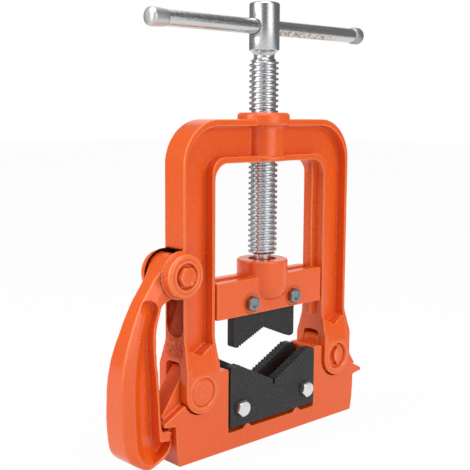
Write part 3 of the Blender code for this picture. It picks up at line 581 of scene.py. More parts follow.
# ---------------------------------------------------------------- yoke casting
def yoke_piece():
    outer = [(0, YOKE_TOP, 0), (YOKE_HALF, YOKE_TOP, 0.032), (YOKE_HALF, PIN_Z, 0)]
    outer = rounded(outer, 28)[1:]
    inner = [(WINDOW_HALF, PIN_Z, 0), (WINDOW_HALF, WINDOW_TOP, 0.012), (0, WINDOW_TOP, 0)]
    inner = rounded(inner, 18)[:-1]
    yoke = prism("yoke", mirrored(outer + inner), DEPTH)
    adds = []
    shape = arc((PIN_X, PIN_Z), FOOT_ROUND, math.pi, 2 * math.pi, 40)
    shape += [(PIN_X + FOOT_ROUND, 0.0685), (0.0862, 0.0883)]
    shape += [(0.0583, 0.0883), (PIN_X - FOOT_ROUND, 0.0685)]
    for side in (-1, 1):
        foot = prism("foot", flipped(shape, side), FOOT_DEPTH)
        wedges = [
            prism(
                "wedge",
                [
                    (facing * FOOT_DEPTH, 0.0685),
                    (facing * (DEPTH - 0.0002), 0.0890),
                    (facing * 0.020, 0.0890),
                ],
                0.03,
                side * PIN_X,
                along="X",
            )
            for facing in (-1, 1)
        ]
        adds.append(carved(foot, (), wedges))
    cuts = []
    outside = rounded([(0, 0.2383, 0), (0.0841, 0.2383, 0.0293), (0.0841, 0.0826, 0)], 24)[1:]
    inside = [(0.0722, 0.0760)] + rounded(
        [(0.0604, 0.0826, 0), (0.0604, 0.2164, 0.012), (0, 0.2164, 0)], 16
    )[:-1]
    for facing in (-1, 1):
        recess = prism("recess", mirrored(outside + inside), 0.0085, facing * (0.00265 + 0.0085))
        cuts.append(bevelled(recess, 0.0018, 4))
        for side in (-1, 1):
            wedge = [
                (facing * 0.0158, 0.0635),
                (facing * 0.0139, 0.0720),
                (facing * 0.0107, 0.0828),
                (facing * 0.0200, 0.0828),
                (facing * 0.0200, 0.0635),
            ]
            cuts.append(prism("cheek", wedge, 0.0115, side * 0.07225, along="X"))
    yoke = carved(yoke, adds, cuts)

    adds = [
        post("boss", 0.0158, 0.2127, 0.2388),
        bevelled(post("lip", 0.0176, 0.2121, 0.2158), 0.0009),
        bevelled(post("collar", 0.01975, 0.238, 0.2482), 0.0028, 6),
    ]
    for side in (-1, 1):
        ends = sorted((side * 0.0529, side * 0.0585))
        adds.append(brick("rib", (ends[0], -0.0025, 0.086), (ends[1], 0.0025, 0.2127)))
    ear = [(0, 0.0165), (0.0127, 0.0165), (0.0131, 0.01605)]
    ear += [(0.0138, 0.01600), (0.0149, 0.01560), (0.0155, 0.0146)]
    ear += [(radius, -height) for radius, height in reversed(ear)]
    ears = turned("ears", ear, (PIVOT_X, 0, PIVOT_Z), "Y", 96)
    ring = peg("ring", 0.0174, PIVOT_X, PIVOT_Z, -0.00987, 0.00987, 96)
    adds += [ring, ears]
    slot_radius = 0.0159
    mouth = math.radians(53)
    reach = 0.031
    slot = [
        (
            PIVOT_X + slot_radius * math.cos(mouth) - reach * math.sin(mouth),
            PIVOT_Z + slot_radius * math.sin(mouth) + reach * math.cos(mouth),
        )
    ]
    slot += arc((PIVOT_X, PIVOT_Z), slot_radius, mouth, -math.pi / 2, 48)
    slot += [(PIVOT_X, PIVOT_Z - 0.0185), (PIVOT_X - reach, PIVOT_Z - 0.0185)]
    pocket = [(-0.0087, 0.0905, 0.0065), (0.0087, 0.0905, 0.0065)]
    pocket = rounded(pocket + [(0.0087, PIVOT_Z, 0), (-0.0087, PIVOT_Z, 0)], 8)
    cuts = [
        prism("slot", slot, 0.0091),
        bevelled(prism("pocket", pocket, 0.0021, -0.0870, along="X"), 0.0005, 2),
        peg("pivot", 0.0043, PIVOT_X, PIVOT_Z, -0.02, 0.02, 48),
        post("screw_bore", 0.0114, 0.209, 0.252),
    ]
    for facing in (-1, 1):
        cuts.append(peg("spot", 0.0093, PIVOT_X, PIVOT_Z, facing * 0.020, facing * 0.0135))
    fork = [(-0.0081, 0.030, 0), (-0.0081, SLOT_TOP, 0.0035)]
    fork = rounded(fork + [(0.0081, SLOT_TOP, 0.0035), (0.0081, 0.030, 0)], 6)
    for side in (-1, 1):
        x = side * PIN_X
        cuts.append(prism("gap", fork, 0.0185, x, along="X"))
        cuts.append(peg("foot_bore", 0.0073, x, PIN_Z, -0.02, 0.02))
        sunk = 0.0015 if side > 0 else 0
        seat = [
            (0, 0.0042),
            (0.0118, 0.0042),
            (0.0112, 0.0),
            (0.0104, -0.0008 - sunk),
            (0.0104, -0.0033 - sunk),
            (0, -0.0033 - sunk),
        ]
        cuts.append(turned("pin_seat", [(r, -h) for r, h in seat], (x, -0.0158, PIN_Z), "Y", 96))
    return carved(yoke, adds, cuts)


def roughened(obj, low, high, amount, scale):
    """Rough casting skin on what lies between two corners."""
    for vertex in obj.data.vertices:
        spot = vertex.co
        if all(low[i] < spot[i] < high[i] for i in range(3)):
            fade = min(1, *[(min(spot[i] - low[i], high[i] - spot[i])) / 0.003 for i in (1, 2)])
            vertex.co = spot + vertex.normal * amount * fade * noise.fractal(spot * scale, 1, 2, 3)


def kept_painted_shade(obj, amount):
    """Keeps with the mesh how much painted shade, or darker streak, each of its points gets."""
    layer = obj.data.attributes.new("painted_shade_and_streaks", "FLOAT", "POINT")
    layer.data.foreach_set("value", [amount(*vertex.co) for vertex in obj.data.vertices])


def eased(low, high, value):
    """0 below low, 1 above high and a soft ramp between, either way round."""
    share = min(1, max(0, (value - low) / (high - low)))
    return share * share * (3 - 2 * share)


def pocket_painted_shade(x, y, z):
    """Painted shade, near black in the hook's slot and dark in the pocket below the ears, most on
    the pocket's rear wall; darker streaks below the pocket.
    """
    away = math.hypot(x - PIVOT_X, z - PIVOT_Z)
    # painted shadow: near black in the hook's slot, where light hardly reaches
    if away < 0.0185 and abs(y) < 0.0098 and (away > 0.0150 or x > PIVOT_X):
        return 2 * eased(0.0098, 0.0090, abs(y)) * eased(0.0178, 0.0170, away)
    if x > -0.0843 or not 0.070 < z < 0.124 or abs(y) > 0.0104:
        return 0.0
    # painted shade in the pocket below the ears, darker on its rear wall
    end = math.hypot(y, min(0, z - 0.0990)) if z < 0.0990 else abs(y)
    inside = eased(0.0096, 0.0084, end)
    back = eased(-0.0006, 0.0006, y - 0.0070 + (z - 0.0935) * 0.36)
    front = eased(-0.0052, -0.0062, y)
    deep = inside * (0.62 + 0.34 * back + 0.22 * front * (1 - back))
    streaks = 0.36 * eased(0.0735, 0.0780, z) * (1 - inside) * eased(0.0104, 0.0092, abs(y))
    streaks *= 1 - eased(0.0985, 0.1040, z)
    wave = noise.fractal(Vector((x, y * 220 + z * 150, z * 230 - y * 160)), 1, 2, 3)
    return min(1, 1.2 * deep + streaks * (0.9 + 0.9 * wave))


yoke = cast(yoke_piece(), 0.00052, 2)
roughened(yoke, (-0.0900, -0.0100, 0.0735), (-0.0850, 0.0100, 0.0920), 0.0008, 260)
# painted shade in the hook's slot and the pocket, and darker streaks below the pocket, kept with
# the mesh
kept_painted_shade(yoke, pocket_painted_shade)
shown(yoke, "yoke", "orange_enamel", orange, "yoke_casting")
shown(cast(base_piece(), 0.00055, 2), "base", "orange_enamel", orange, "base_casting")


def lip(name, profile, place):
    """Turned ring from its closed section, each point a radius and a height."""
    ring = turned(name, list(profile) + [profile[0]], place, "Y", 96)
    mended(ring.data, 0.000001)
    crisp(ring, 60)
    shown(ring, "yoke", "orange_enamel", orange)
    ring.name = name


EAR_LIP = (
    (0.0092, 0.0146), (0.0092, 0.0163), (0.00935, 0.01665), (0.0097, 0.01690),
    (0.0104, 0.01695), (0.0110, 0.01675), (0.0114, 0.01640), (0.0117, 0.01615),
    (0.0121, 0.01618), (0.0124, 0.01655), (0.0130, 0.01675), (0.0138, 0.01668),
    (0.0145, 0.01640), (0.0151, 0.01585), (0.0154, 0.0150), (0.0154, 0.0146),
)
FOOT_LIP = (
    (0.0103, -0.0020), (0.0103, -0.0010), (0.0105, -0.0004), (0.0109, 0.0001),
    (0.0115, 0.00035), (0.0121, 0.00035), (0.0128, 0.00015), (0.0134, -0.0001),
    (0.0138, -0.0005), (0.0138, -0.0020),
)
for facing, word in ((-1, "front"), (1, "rear")):
    lip("ear_lip_" + word, [(r, facing * h) for r, h in EAR_LIP], (PIVOT_X, 0, PIVOT_Z))
for side, word in ((-1, "left"), (1, "right")):
    lip("foot_lip_" + word, [(r, -FOOT_DEPTH - h) for r, h in FOOT_LIP], (side * PIN_X, 0, PIN_Z))


# ---------------------------------------------------------------- latch hook
HOOK_DROP = 0.133
HOOK_INNER = (
    (-0.109, -0.141), (-0.133, -0.190), (-0.157, -0.265), (-0.164, -0.368), (-0.161, -0.447),
    (-0.154, -0.526), (-0.149, -0.739), (-0.138, -0.8055), (-0.106, -0.8105), (-0.091, -0.816),
    (-0.0797, -0.8225), (-0.0647, -0.8345), (-0.0600, -0.850), (-0.0610, -0.878),
    (-0.0700, -0.918), (-0.0940, -0.952), (-0.1610, -0.983), (-0.2260, -1.0),
)
HOOK_OUTER = (
    (-0.280, -0.970), (-0.319, -0.940), (-0.349, -0.892), (-0.365, -0.800), (-0.372, -0.711),
    (-0.372, -0.626), (-0.3705, -0.541), (-0.3632, -0.466), (-0.3511, -0.402),
    (-0.3331, -0.342), (-0.3113, -0.286), (-0.2835, -0.218), (-0.2410, -0.135),
    (-0.2030, -0.080), (-0.1556, -0.015), (-0.1226, 0.027),
)
# the recess: its steep side from the top round to the nose and its foot, and its
# shallow side back up, as X and Z
RECESS_STEEP = (
    (-0.1190, 0.1200), (-0.1166, 0.1212), (-0.1136, 0.1212), (-0.1102, 0.1194),
    (-0.1079, 0.1163), (-0.1080, 0.1125), (-0.1093, 0.1085), (-0.1112, 0.1045),
    (-0.1125, 0.0990), (-0.1131, 0.0910), (-0.1127, 0.0790), (-0.1116, 0.0660),
    (-0.1108, 0.0500), (-0.1103, 0.0340), (-0.1096, 0.0230), (-0.1080, 0.0216),
    (-0.1030, 0.0210), (-0.0991, 0.0203), (-0.0993, 0.0180), (-0.1012, 0.0157),
    (-0.1065, 0.0112), (-0.1120, 0.0084), (-0.1180, 0.0070), (-0.1235, 0.0088),
    (-0.1275, 0.0130),
)
RECESS_SOFT = (
    (-0.1300, 0.0190), (-0.1312, 0.0300), (-0.1316, 0.0500), (-0.1308, 0.0700),
    (-0.1288, 0.0860), (-0.1258, 0.1000), (-0.1222, 0.1120),
)
HOOK_HALF = 0.0125
RECESS_FLOOR = 0.0028
RECESS_SLOPE = 0.0125
HOOK_DEPTHS = ((0.905, 1.0), (0.60, 0.88), (0.271, 0.744), (0.11, 0.70), (-0.15, 0.696))


def on_hook(shares):
    return [(PIVOT_X + x * HOOK_DROP, PIVOT_Z + z * HOOK_DROP) for x, z in shares]


def between(table, value):
    """Values of a table at a height, its rows going down in height."""
    if value >= table[0][0]:
        return table[0][1:]
    for upper, lower in zip(table, table[1:]):
        if value >= lower[0]:
            share = (upper[0] - value) / (upper[0] - lower[0])
            return tuple(a + (b - a) * share for a, b in zip(upper[1:], lower[1:]))
    return table[-1][1:]


def finder(points):
    tree = KDTree(len(points))
    for index, (x, z) in enumerate(points):
        tree.insert((x, 0, z), index)
    tree.balance()
    return tree


# height, then the crown's half width as a share of the hook's, the width of the slope
# beside it, and how round that slope is, in front and then at the back
HOOK_CROWN = (
    (0.140, 0.62, 0.0080, 0.0, 0.62, 0.0080, 0.0),
    (0.118, 0.64, 0.0085, 0.0, 0.64, 0.0085, 0.0),
    (0.100, 0.69, 0.0090, 0.1, 0.70, 0.0085, 0.1),
    (0.084, 0.72, 0.0095, 0.4, 0.80, 0.0060, 0.5),
    (0.062, 0.60, 0.0100, 0.9, 0.93, 0.0032, 1.0),
    (0.030, 0.52, 0.0095, 1.0, 0.95, 0.0030, 1.0),
    (0.012, 0.62, 0.0060, 1.0, 0.95, 0.0030, 1.0),
    (0.004, 0.72, 0.0050, 1.0, 0.95, 0.0030, 1.0),
)


def floor_solid(facing, halves, soft, low, high, steps):
    """Solid over a grid in X and Z, from outside the hook down to the recess's floor,
    which slants up to the line that soft finds."""
    drawn = bmesh.new()
    columns, rows = steps
    sheets = []
    for outer in (True, False):
        grid = []
        for column in range(columns + 1):
            x = low[0] + (high[0] - low[0]) * column / columns
            line = []
            for row in range(rows + 1):
                z = low[1] + (high[1] - low[1]) * row / rows
                y = 0.016
                if not outer:
                    full = between(halves, z)[0] + 0.0001
                    away = soft.find((x, 0, z))[2]
                    y = full + (RECESS_FLOOR - full) * eased(0, RECESS_SLOPE, away)
                line.append(drawn.verts.new((x, facing * y, z)))
            grid.append(line)
        sheets.append(grid)
    for grid in sheets:
        for column in range(columns):
            for row in range(rows):
                here, there = grid[column], grid[column + 1]
                drawn.faces.new((here[row], there[row], there[row + 1], here[row + 1]))
    top, floor = sheets
    for column in range(columns):
        for row in (0, rows):
            upper = (top[column][row], top[column + 1][row])
            drawn.faces.new((*upper, floor[column + 1][row], floor[column][row]))
    for row in range(rows):
        for column in (0, columns):
            upper = (top[column][row], top[column][row + 1])
            drawn.faces.new((*upper, floor[column][row + 1], floor[column][row]))
    bmesh.ops.recalc_face_normals(drawn, faces=drawn.faces)
    return built("floor_solid", drawn)


def hook_piece():
    eye = arc((PIVOT_X, PIVOT_Z), 0.0143, math.radians(140), math.radians(-100), 60)
    inner = curved([(-0.0905, 0.1219)] + on_hook(HOOK_INNER), 5, False)[1:]
    outer = curved(on_hook(HOOK_INNER[-1:] + HOOK_OUTER), 6, False)[1:]
    hook = prism("hook", eye + inner + outer, HOOK_HALF)
    halves = [
        (PIVOT_Z - drop * HOOK_DROP, half * HOOK_HALF) for drop, half in reversed(HOOK_DEPTHS)
    ]
    ring = curved(RECESS_STEEP + RECESS_SOFT, 6)
    soft = finder(curved(RECESS_STEEP[-3:] + RECESS_SOFT, 12, False))
    xs, zs = [x for x, z in ring], [z for x, z in ring]
    cuts, recesses = [], []
    for facing in (-1, 1):
        depths = [
            (facing * half * HOOK_HALF, PIVOT_Z - drop * HOOK_DROP) for drop, half in HOOK_DEPTHS
        ]
        depths = curved(depths, 8, False)
        taper = depths + [(facing * 0.018, depths[-1][1]), (facing * 0.018, depths[0][1])]
        cuts.append(prism("taper", taper, 0.08, PIVOT_X - 0.02, along="X"))
        over = 0.002
        low, high = (min(xs) - over, min(zs) - over), (max(xs) + over, max(zs) + over)
        solid = floor_solid(facing, halves, soft, low, high, (36, 120))
        recesses.append(carved(prism("recess", ring, 0.008, facing * 0.0075), (), (), (solid,)))
    cuts.append(peg("eye_bore", 0.0043, PIVOT_X, PIVOT_Z, -0.02, 0.02, 48))
    hook = carved(hook, (), cuts)
    hook = cast(carved(hook, (), recesses), 0.00045, 3)

    # the outer side slopes off toward both faces, which leaves a ridge along it that gets a painted
    # highlight
    spine = curved(on_hook(HOOK_INNER[-6:] + HOOK_OUTER), 14, False)
    outside = finder(spine)
    painted_highlight = []
    for vertex in hook.data.vertices:
        x, y, z = vertex.co
        _, index, away = outside.find((x, 0, z))
        crowns = between(HOOK_CROWN, spine[index][1])
        crown, wide, soft_share = crowns[:3] if y < 0 else crowns[3:]
        share = min(1, away / wide)
        round_share = math.sqrt(max(0, 1 - (1 - share) ** 2))
        slope = crown + (1 - crown) * (share + (round_share - share) * soft_share)
        from_eye = math.hypot(x - PIVOT_X, z - PIVOT_Z)
        sloped = eased(0.0135, 0.0205, from_eye)
        vertex.co = (x, y * (1 + (slope - 1) * sloped), z)
        full = between(halves, z)[0]
        # painted highlight along the ridge
        on_ridge = eased(0.0016, 0.0004, away) * eased(0.86, 0.98, abs(y) / full)
        painted_highlight.append(on_ridge * sloped * (1 - soft_share) * eased(0.060, 0.075, z))
    layer = hook.data.attributes.new("painted_highlight", "FLOAT", "POINT")
    layer.data.foreach_set("value", painted_highlight)
    return hook


shown(hook_piece(), "hook", "orange_enamel", orange, "latch_hook")


# ---------------------------------------------------------------- carrier casting
def carrier_piece():
    low, high = (-0.0567, -CARRIER_DEPTH, CARRIER_LOW), (0.0545, CARRIER_DEPTH, CARRIER_TOP)
    carrier = bevelled(brick("carrier", low, high), 0.0006)
    boss = turned(
        "boss",
        [
            (0, 0.1375), (0.0184, 0.1375), (0.0192, 0.1372), (0.0195, 0.1364),
            (0.0195, 0.1180), (0.0192, 0.1150), (0.0184, 0.1122), (0.0170, 0.1098),
            (0.0148, 0.1078), (0.0121, 0.1070), (0, 0.1070),
        ],
        steps=96,
    )
    top_groove = brick("top_groove", (-0.06, -0.0045, 0.1238), (0.06, 0.0045, 0.130))
    carrier = carved(carrier, (), (top_groove,))
    cuts = [
        brick("jaw_slot", (-0.0328, -0.0038, 0.095), (0.0328, 0.0038, 0.1168)),
        post("bore", 0.0068, CARRIER_LOW, 0.140, 64),
        post("counterbore", 0.0105, 0.095, 0.1180, 64),
        bevelled(post("mouth", 0.0105, 0.1358, 0.140, 64), 0.0004, 1),
    ]
    for side in (-1, 1):
        ends = sorted((side * 0.0511, side * 0.058))
        cuts.append(brick("rib_groove", (ends[0], -0.0031, 0.095), (ends[1], 0.0031, 0.130)))
        x, z = side * UPPER_BOLT_X, UPPER_BOLT_Z
        cuts.append(peg("jaw_bore", BOLT_BORE, x, z, -0.015, 0.015, 32))
        for facing in (-1, 1):
            cuts.append(peg("spot", 0.0083, x, z, facing * 0.015, facing * 0.0112))
    return carved(carrier, [boss], cuts)


shown(cast(carrier_piece(), 0.00045, 2), "carrier", "orange_enamel", orange, "carrier_casting")


# ---------------------------------------------------------------- jaws
def toothed(start, end, count, depth, flat=0.16):
    """Toothed line with narrow flats on the teeth's tips, standing on its left."""
    run = Vector(end) - Vector(start)
    side = Vector((-run.y, run.x)).normalized() * depth
    points = []
    for tooth in range(count):
        tip = ((0.5 - flat / 2, 1.0), (0.5 + flat / 2, 1.0))
        for share, height in ((0.04, 0.0), *tip, (0.96, 0.0)):
            spot = Vector(start) + run * (tooth + share) / count + side * height
            points.append(tuple(spot))
    return points + [tuple(end)]


def highlighted(obj, value):
    """Keeps with each face of the mesh how much painted highlight it gets."""
    layer = obj.data.attributes.new("painted_highlight", "FLOAT", "FACE")
    layer.data.foreach_set("value", [value(face) for face in obj.data.polygons])
    return obj


def slanted(face):
    """1 for the strips that a bevel leaves along the outline's edges, else 0."""
    return 1.0 if 0.3 < abs(face.normal.y) < 0.93 else 0.0


def jaw_finished(obj):
    return highlighted(crisp(bevelled(obj, 0.00034, 1, 25), 12), slanted)


def bolt_holes(x, z):
    return [arc((side * x, z), BOLT_BORE, 0, 2 * math.pi, 32)[:-1] for side in (-1, 1)]


TEETH, TOOTH = 12, 0.0011
LOWER_HALF, LOWER_TOP, LOWER_ROUND = 0.0455, 0.0625, 0.0035
LOWER_FRONT, LOWER_BACK = 0.0143, 0.0064
lower = [(0.0011, 0.0412)]
lower += toothed((0.0011, 0.044), (0.038, LOWER_TOP), TEETH, TOOTH)
lower += arc((LOWER_HALF - LOWER_ROUND, LOWER_TOP - LOWER_ROUND), LOWER_ROUND, math.pi / 2, 0, 10)
lower += [(LOWER_HALF, 0.0167)]
jaw_thick = LOWER_FRONT - LOWER_BACK - 0.0003
holes = bolt_holes(LOWER_BOLT_X, LOWER_BOLT_Z)
for facing, word in ((-1, "front"), (1, "rear")):
    middle = facing * (LOWER_FRONT - jaw_thick / 2)
    jaw = prism("jaw", mirrored(lower), jaw_thick / 2, middle, holes)
    shown(jaw_finished(jaw), "base", "black_jaw", black, "lower_jaw_" + word)

UPPER_HALF, UPPER_TOP, UPPER_APEX = 0.0325, 0.1165, 0.0842
upper = [(0.0115, 0.1100), (0.0115, UPPER_TOP), (UPPER_HALF, UPPER_TOP)]
corner = [(UPPER_HALF, UPPER_TOP, 0), (UPPER_HALF, 0.0740, 0.0016)]
upper += rounded(corner + [(0.0300, 0.0727, 0.0006), (0, UPPER_APEX, 0)], 4)[1:-1]
upper += toothed((0.0275, 0.0727), (0, UPPER_APEX), TEETH, -TOOTH)[:-1]
outline = upper + [(0, UPPER_APEX)] + [(-x, z) for x, z in reversed(upper)]
jaw = prism("jaw", outline, 0.0035, 0, bolt_holes(UPPER_BOLT_X, UPPER_BOLT_Z))
shown(jaw_finished(jaw), "carrier", "black_jaw", black, "upper_jaw")


# ---------------------------------------------------------------- hexagon bolts and nuts
def hexed(name, x, z, near, far, radius, turn, crown, collar=True):
    """Hexagon between two depths in Y, with the corners turned down at the crown."""
    low, high = sorted((near, far))
    block = rod(name, radius, (x, low, z), (x, high, z), 6, turn)
    flat = radius * 0.866
    out = 1 if crown > near else -1
    rim = abs(crown - near)
    profile = [
        (0, rim),
        (flat * 0.93, rim),
        (radius * 1.01, rim - radius * 0.17),
        (radius * 1.01, 0.00035 if collar else 0.0),
    ]
    if collar:
        profile += [(flat * 0.99, 0.00032), (flat * 0.99, 0.0)]
    profile += [(0, 0)]
    lathe = turned("lathe", [(r, out * h) for r, h in profile], (x, near, z), "Y", 48)
    return carved(block, (), (), (lathe,))


def stud(name, x, z, radius, start, end, pitch=0.00127):
    """Bolt's shank with a thread near its end, from the head's underside back in Y."""
    length = end - start
    profile = [(0, length), (radius - 0.0006, length), (radius, length - 0.0006)]
    height = length - 0.0006
    while height > length - 0.011:
        profile += [(radius, height - 0.25 * pitch), (radius - 0.0005, height - 0.55 * pitch)]
        height -= pitch
        profile.append((radius, height))
    profile += [(radius, 0), (0, 0)]
    return turned(name, profile, (x, start, z), "Y", 32)


BOLT_TAIL = 0.0012


def bolted(name, nut, body, material, x, z, under, sizes, turn, dimple=0.0):
    """Hexagon bolt from the front through to its nut at the back.

    sizes are the radius of the shank and of the hexagon, and how thick head and nut are.
    """
    radius, hexagon, thick, nut_thick = sizes
    top = -under - thick
    far = under + nut_thick
    head = hexed(name, x, z, -under, top, hexagon, turn, top)
    if dimple:
        hollow = peg("dimple", hexagon * dimple, x, z, top - 0.001, top + 0.0005, 48)
        head = carved(head, (), (hollow,))
    head = carved(head, (stud("stud", x, z, radius, -under - 0.0005, far + BOLT_TAIL),))
    shown(crisp(bevelled(head, 0.00018, 2, 28)), body, slots[name], material, name)
    back = hexed(nut, x, z, under, far, hexagon, turn, far, False)
    back = carved(back, (), (peg("bore", radius + 0.0003, x, z, under - 0.002, far + 0.002, 32),))
    shown(crisp(bevelled(back, 0.00018, 2, 28)), body, slots[nut], material, nut)


lower_sizes = (0.003175, 0.0064, 0.0044, 0.0056)
upper_sizes = (0.003175, 0.0059, 0.0044, 0.0056)
pivot_sizes = (0.004, 0.0072, 0.0053, 0.0060)
for side, word in ((-1, "left"), (1, "right")):
    names = ("lower_jaw_bolt_" + word, "lower_jaw_nut_" + word)
    x = side * LOWER_BOLT_X
    bolted(*names, "base", bright, x, LOWER_BOLT_Z, 0.0146, lower_sizes, math.radians(13))
    names = ("upper_jaw_bolt_" + word, "upper_jaw_nut_" + word)
    x = side * UPPER_BOLT_X
    bolted(*names, "carrier", blued, x, UPPER_BOLT_Z, 0.0115, upper_sizes, 0.0, 0.45)
names = ("hook_pivot_bolt", "hook_pivot_nut")
bolted(*names, "yoke", orange, PIVOT_X, PIVOT_Z, 0.0138, pivot_sizes, math.radians(30))


# ---------------------------------------------------------------- pins of the feet
def pin_piece(side):
    sunk = 0.0015 if side > 0 else 0.0
    face = -0.0158 + sunk
    profile = [
        (0, face + 0.00065),
        (0.0006, face + 0.0005),
        (0.0013, face + 0.00005),
        (0.0018, face - 0.0001),
        (0.0060, face - 0.0001),
        (0.0080, face),
        (0.0088, face + 0.0002),
        (0.0094, face + 0.0005),
        (0.0099, face + 0.0009),
        (0.0102, face + 0.0013),
        (0.0102, face + 0.0030),
        (0.0070, face + 0.0030),
        (0.0070, 0.0150), (0.0062, 0.0158), (0.0030, 0.0158), (0, 0.0155),
    ]
    if side > 0:
        profile = [(0, face)] + profile[4:]
    pin = turned("pin", profile, (side * PIN_X, 0, PIN_Z), "Y", 96)
    if side > 0:
        outline = arc((-0.0002, 0), 0.0083, math.radians(80), math.radians(280), 24)
        outline += arc((0.0050, 0), 0.0072, math.radians(235), math.radians(125), 16)
        outline = [(PIN_X + x, PIN_Z + z) for x, z in outline]
        crescent = prism("crescent", outline, 0.0028, face)
        pin = carved(pin, (), (bevelled(crescent, 0.0010, 4, 30),))
    return crisp(pin, 50)


shown(pin_piece(-1), "yoke", "orange_enamel", orange, "latch_pin")
shown(pin_piece(1), "yoke", "orange_enamel", orange, "hinge_pin")


# ---------------------------------------------------------------- screw and handle bar
LEAD = 0.004
SCREW_LOW, SCREW_HIGH = 0.1414, 0.287
BAR_Z = 0.311


def threaded(radius, height, angle):
    """Radius of the rolled thread at a height and an angle."""
    turn = ((height - SCREW_LOW) / LEAD - angle / (2 * math.pi)) % 1
    ramp = abs(turn - 0.5) * 2
    crest = min(1, max(0, (ramp - 0.30) / 0.36))
    crest = crest * crest * (3 - 2 * crest)
    return radius - 0.0018 * (1 - crest)


def screw_piece():
    end = 0.0013
    rows = int((SCREW_HIGH - SCREW_LOW) / (0.00025 if fine else 0.0005))
    profile = [(0, SCREW_HIGH - 0.0005)]
    for row in range(rows + 1):
        height = SCREW_HIGH - (SCREW_HIGH - SCREW_LOW) * row / rows
        near = min(SCREW_HIGH - height, height - SCREW_LOW)
        profile.append((0.011 - max(0, end - near), height))
    profile.append((0, SCREW_LOW + 0.0005))
    thread = turned("thread", profile, steps=96, radius_at=threaded)
    head = turned(
        "head",
        [
            (0, 0.3297), (0.0040, 0.32965), (0.0075, 0.3294), (0.0098, 0.3289),
            (0.0108, 0.3283), (0.0113, 0.3276), (0.01135, 0.3272), (0.01135, 0.2944),
            (0.0111, 0.2939), (0.0104, 0.2936), (0.0096, 0.2930), (0.0086, 0.2920),
            (0.0079, 0.2908), (0.0076, 0.2896), (0.0078, 0.2884), (0.0086, 0.2874),
            (0.0092, 0.2864), (0, 0.2860),
        ],
        steps=96,
    )
    journal = turned(
        "journal",
        [
            (0, 0.1430), (0.0065, 0.1430), (0.0065, 0.1155), (0.0056, 0.1155),
            (0.0056, 0.1133), (0.0065, 0.1133), (0.0065, 0.1111), (0.0057, 0.1103),
            (0, 0.1103),
        ],
        steps=48,
    )
    hole = rod("hole", 0.0061, (-0.02, 0, BAR_Z), (0.02, 0, BAR_Z), 64)
    screw = carved(thread, (journal,))
    head = crisp(bevelled(carved(head, (), (hole,)), 0.0003, 2, 50), 38)
    return crisp(screw, 60), head


screw, head = screw_piece()
shown(screw, "screw", "zinc_plate", thread_steel, "lead_screw")
shown(head, "screw", "zinc_plate", head_steel)
head.name = "screw_head"

middle = [(0, 0.1030), (0.0054, 0.1030), (0.0057, 0.1015)]
middle += [(0.0057, -0.0960), (0.0054, -0.0975), (0, -0.0975)]
bar = turned("bar", middle, (0, 0, BAR_Z), "X")
shown(crisp(bar, 40), "handle", "zinc_plate", bar_steel, "handle_bar")
right_end = [
    (0, 0.1108), (0.0035, 0.1107), (0.0050, 0.1102), (0.0061, 0.1092), (0.0067, 0.1078),
    (0.0068, 0.1060), (0.0067, 0.1022), (0.0063, 0.1010), (0.0058, 0.1000), (0.0053, 0.0997),
    (0, 0.0997),
]
left_end = [
    (0, -0.0938), (0.0053, -0.0938), (0.0058, -0.0943), (0.0061, -0.0952), (0.0062, -0.0968),
    (0.0064, -0.1000), (0.0066, -0.1050), (0.0066, -0.1062), (0.0063, -0.1074),
    (0.0056, -0.1083), (0.0047, -0.1088), (0.0030, -0.1090), (0, -0.1090),
]
for word, profile, finish in (("left", left_end, swage_steel), ("right", right_end, dull_steel)):
    swage = crisp(turned("swage", profile, (0, 0, BAR_Z), "X", 64), 50)
    shown(swage, "handle", "zinc_plate", finish)
    swage.name = "bar_end_" + word


# ---------------------------------------------------------------- studio
def rays(tree):
    """Share of the rays that see the stage itself: camera, glossy and transmitted."""
    path = tree.nodes.new("ShaderNodeLightPath")
    last = path.outputs["Is Camera Ray"]
    for name in ("Is Glossy Ray", "Is Transmission Ray"):
        both = tree.nodes.new("ShaderNodeMath")
        both.operation = "MAXIMUM"
        tree.links.new(last, both.inputs[0])
        tree.links.new(path.outputs[name], both.inputs[1])
        last = both.outputs[0]
    return last


def stage_material(name, colour, white):
    """Pale diffuse colour that those rays see nearer to white."""
    made = bpy.data.materials.new(name)
    made.use_nodes = True
    tree = made.node_tree
    tree.nodes.clear()
    out = tree.nodes.new("ShaderNodeOutputMaterial")
    matt = tree.nodes.new("ShaderNodeBsdfDiffuse")
    matt.inputs["Color"].default_value = (*colour, 1)
    glow = tree.nodes.new("ShaderNodeEmission")
    glow.inputs["Color"].default_value = (1, 1, 1, 1)
    share = tree.nodes.new("ShaderNodeMath")
    share.operation = "MULTIPLY"
    share.inputs[1].default_value = white
    tree.links.new(rays(tree), share.inputs[0])
    mixed = tree.nodes.new("ShaderNodeMixShader")
    tree.links.new(share.outputs[0], mixed.inputs[0])
    tree.links.new(matt.outputs[0], mixed.inputs[1])
    tree.links.new(glow.outputs[0], mixed.inputs[2])
    tree.links.new(mixed.outputs[0], out.inputs["Surface"])
    return made


def sheet(name, width, depth, place, toward, material):
    """Flat stage piece, facing up or toward a point."""
    drawn = bmesh.new()
    bmesh.ops.create_grid(drawn, x_segments=1, y_segments=1, size=0.5)
    bmesh.ops.scale(drawn, vec=(width, depth, 1), verts=drawn.verts)
    made = built(name, drawn)
    made.location = place
    if toward is not None:
        made.rotation_euler = (Vector(toward) - Vector(place)).to_track_quat("Z", "Y").to_euler()
    made.data.materials.append(material)
    return made


sheet("floor", 12, 12, (0, 0, -0.0002), None, stage_material("floor", (0.86, 0.86, 0.86), 0.965))

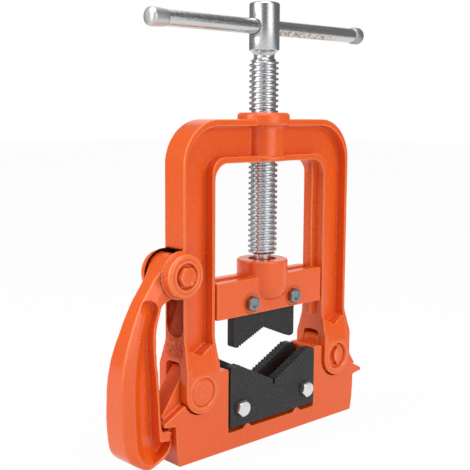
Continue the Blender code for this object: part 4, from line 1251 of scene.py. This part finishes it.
world = bpy.data.worlds.new("studio")
bpy.context.scene.world = world
world.use_nodes = True
tree = world.node_tree
ground = tree.nodes["Background"]
ground.inputs["Color"].default_value = (1, 1, 1, 1)
level = tree.nodes.new("ShaderNodeMapRange")
level.inputs["To Min"].default_value = 0.36
level.inputs["To Max"].default_value = 1.0
tree.links.new(rays(tree), level.inputs["Value"])
tree.links.new(level.outputs["Result"], ground.inputs["Strength"])

aim = Vector((0, 0, 0.15))


def around(angle, height, distance):
    """Point round the vise; angle 0 is at the camera, positive to its right."""
    turn = math.radians(angle) - yaw
    return Vector((math.sin(turn) * distance, -math.cos(turn) * distance, height))


def softbox(name, angle, height, distance, width, tall, power, mirrored_in=True):
    lamp = bpy.data.lights.new(name, "AREA")
    lamp.shape = "RECTANGLE"
    lamp.size = width
    lamp.size_y = tall
    lamp.energy = power
    made = placed(name, lamp)
    made.location = around(angle, height, distance)
    made.rotation_euler = (made.location - aim).to_track_quat("Z", "Y").to_euler()
    made.visible_glossy = mirrored_in


softbox("key", -62, 0.75, 1.3, 0.7, 1.1, 10.5)
softbox("fill", 58, 0.65, 1.4, 0.7, 1.1, 9.8, False)
softbox("top", 10, 1.6, 0.35, 1.0, 1.0, 10)

# cards that only glossy surfaces see, which give the metal its darker and lighter bands
for name, angle, height, distance, width, tall, level in (
    ("card_middle", 0, 0.70, 1.6, 1.05, 1.4, 0.16),
    ("card_right", 115, 1.10, 1.0, 2.00, 2.2, 0.20),
    ("card_left", -119, 0.70, 1.0, 1.80, 1.4, 0.24),
    ("card_high", 78, 1.30, 0.98, 0.80, 1.5, 0.12),
    ("card_bright", 44, 0.55, 1.4, 0.70, 0.9, 2.4),
):
    grey = bpy.data.materials.new(name)
    grey.use_nodes = True
    shader = grey.node_tree.nodes["Principled BSDF"]
    shader.inputs["Base Color"].default_value = (0.0, 0.0, 0.0, 1)
    shader.inputs["Specular IOR Level"].default_value = 0.0
    shader.inputs["Emission Color"].default_value = (1, 1, 1, 1)
    shader.inputs["Emission Strength"].default_value = level
    card = sheet(name, width, tall, around(angle, height, distance), (0, 0, height), grey)
    card.visible_camera = False
    card.visible_diffuse = False
    card.visible_shadow = False
    card.visible_transmission = False

bpy.context.scene.view_settings.view_transform = "Standard"
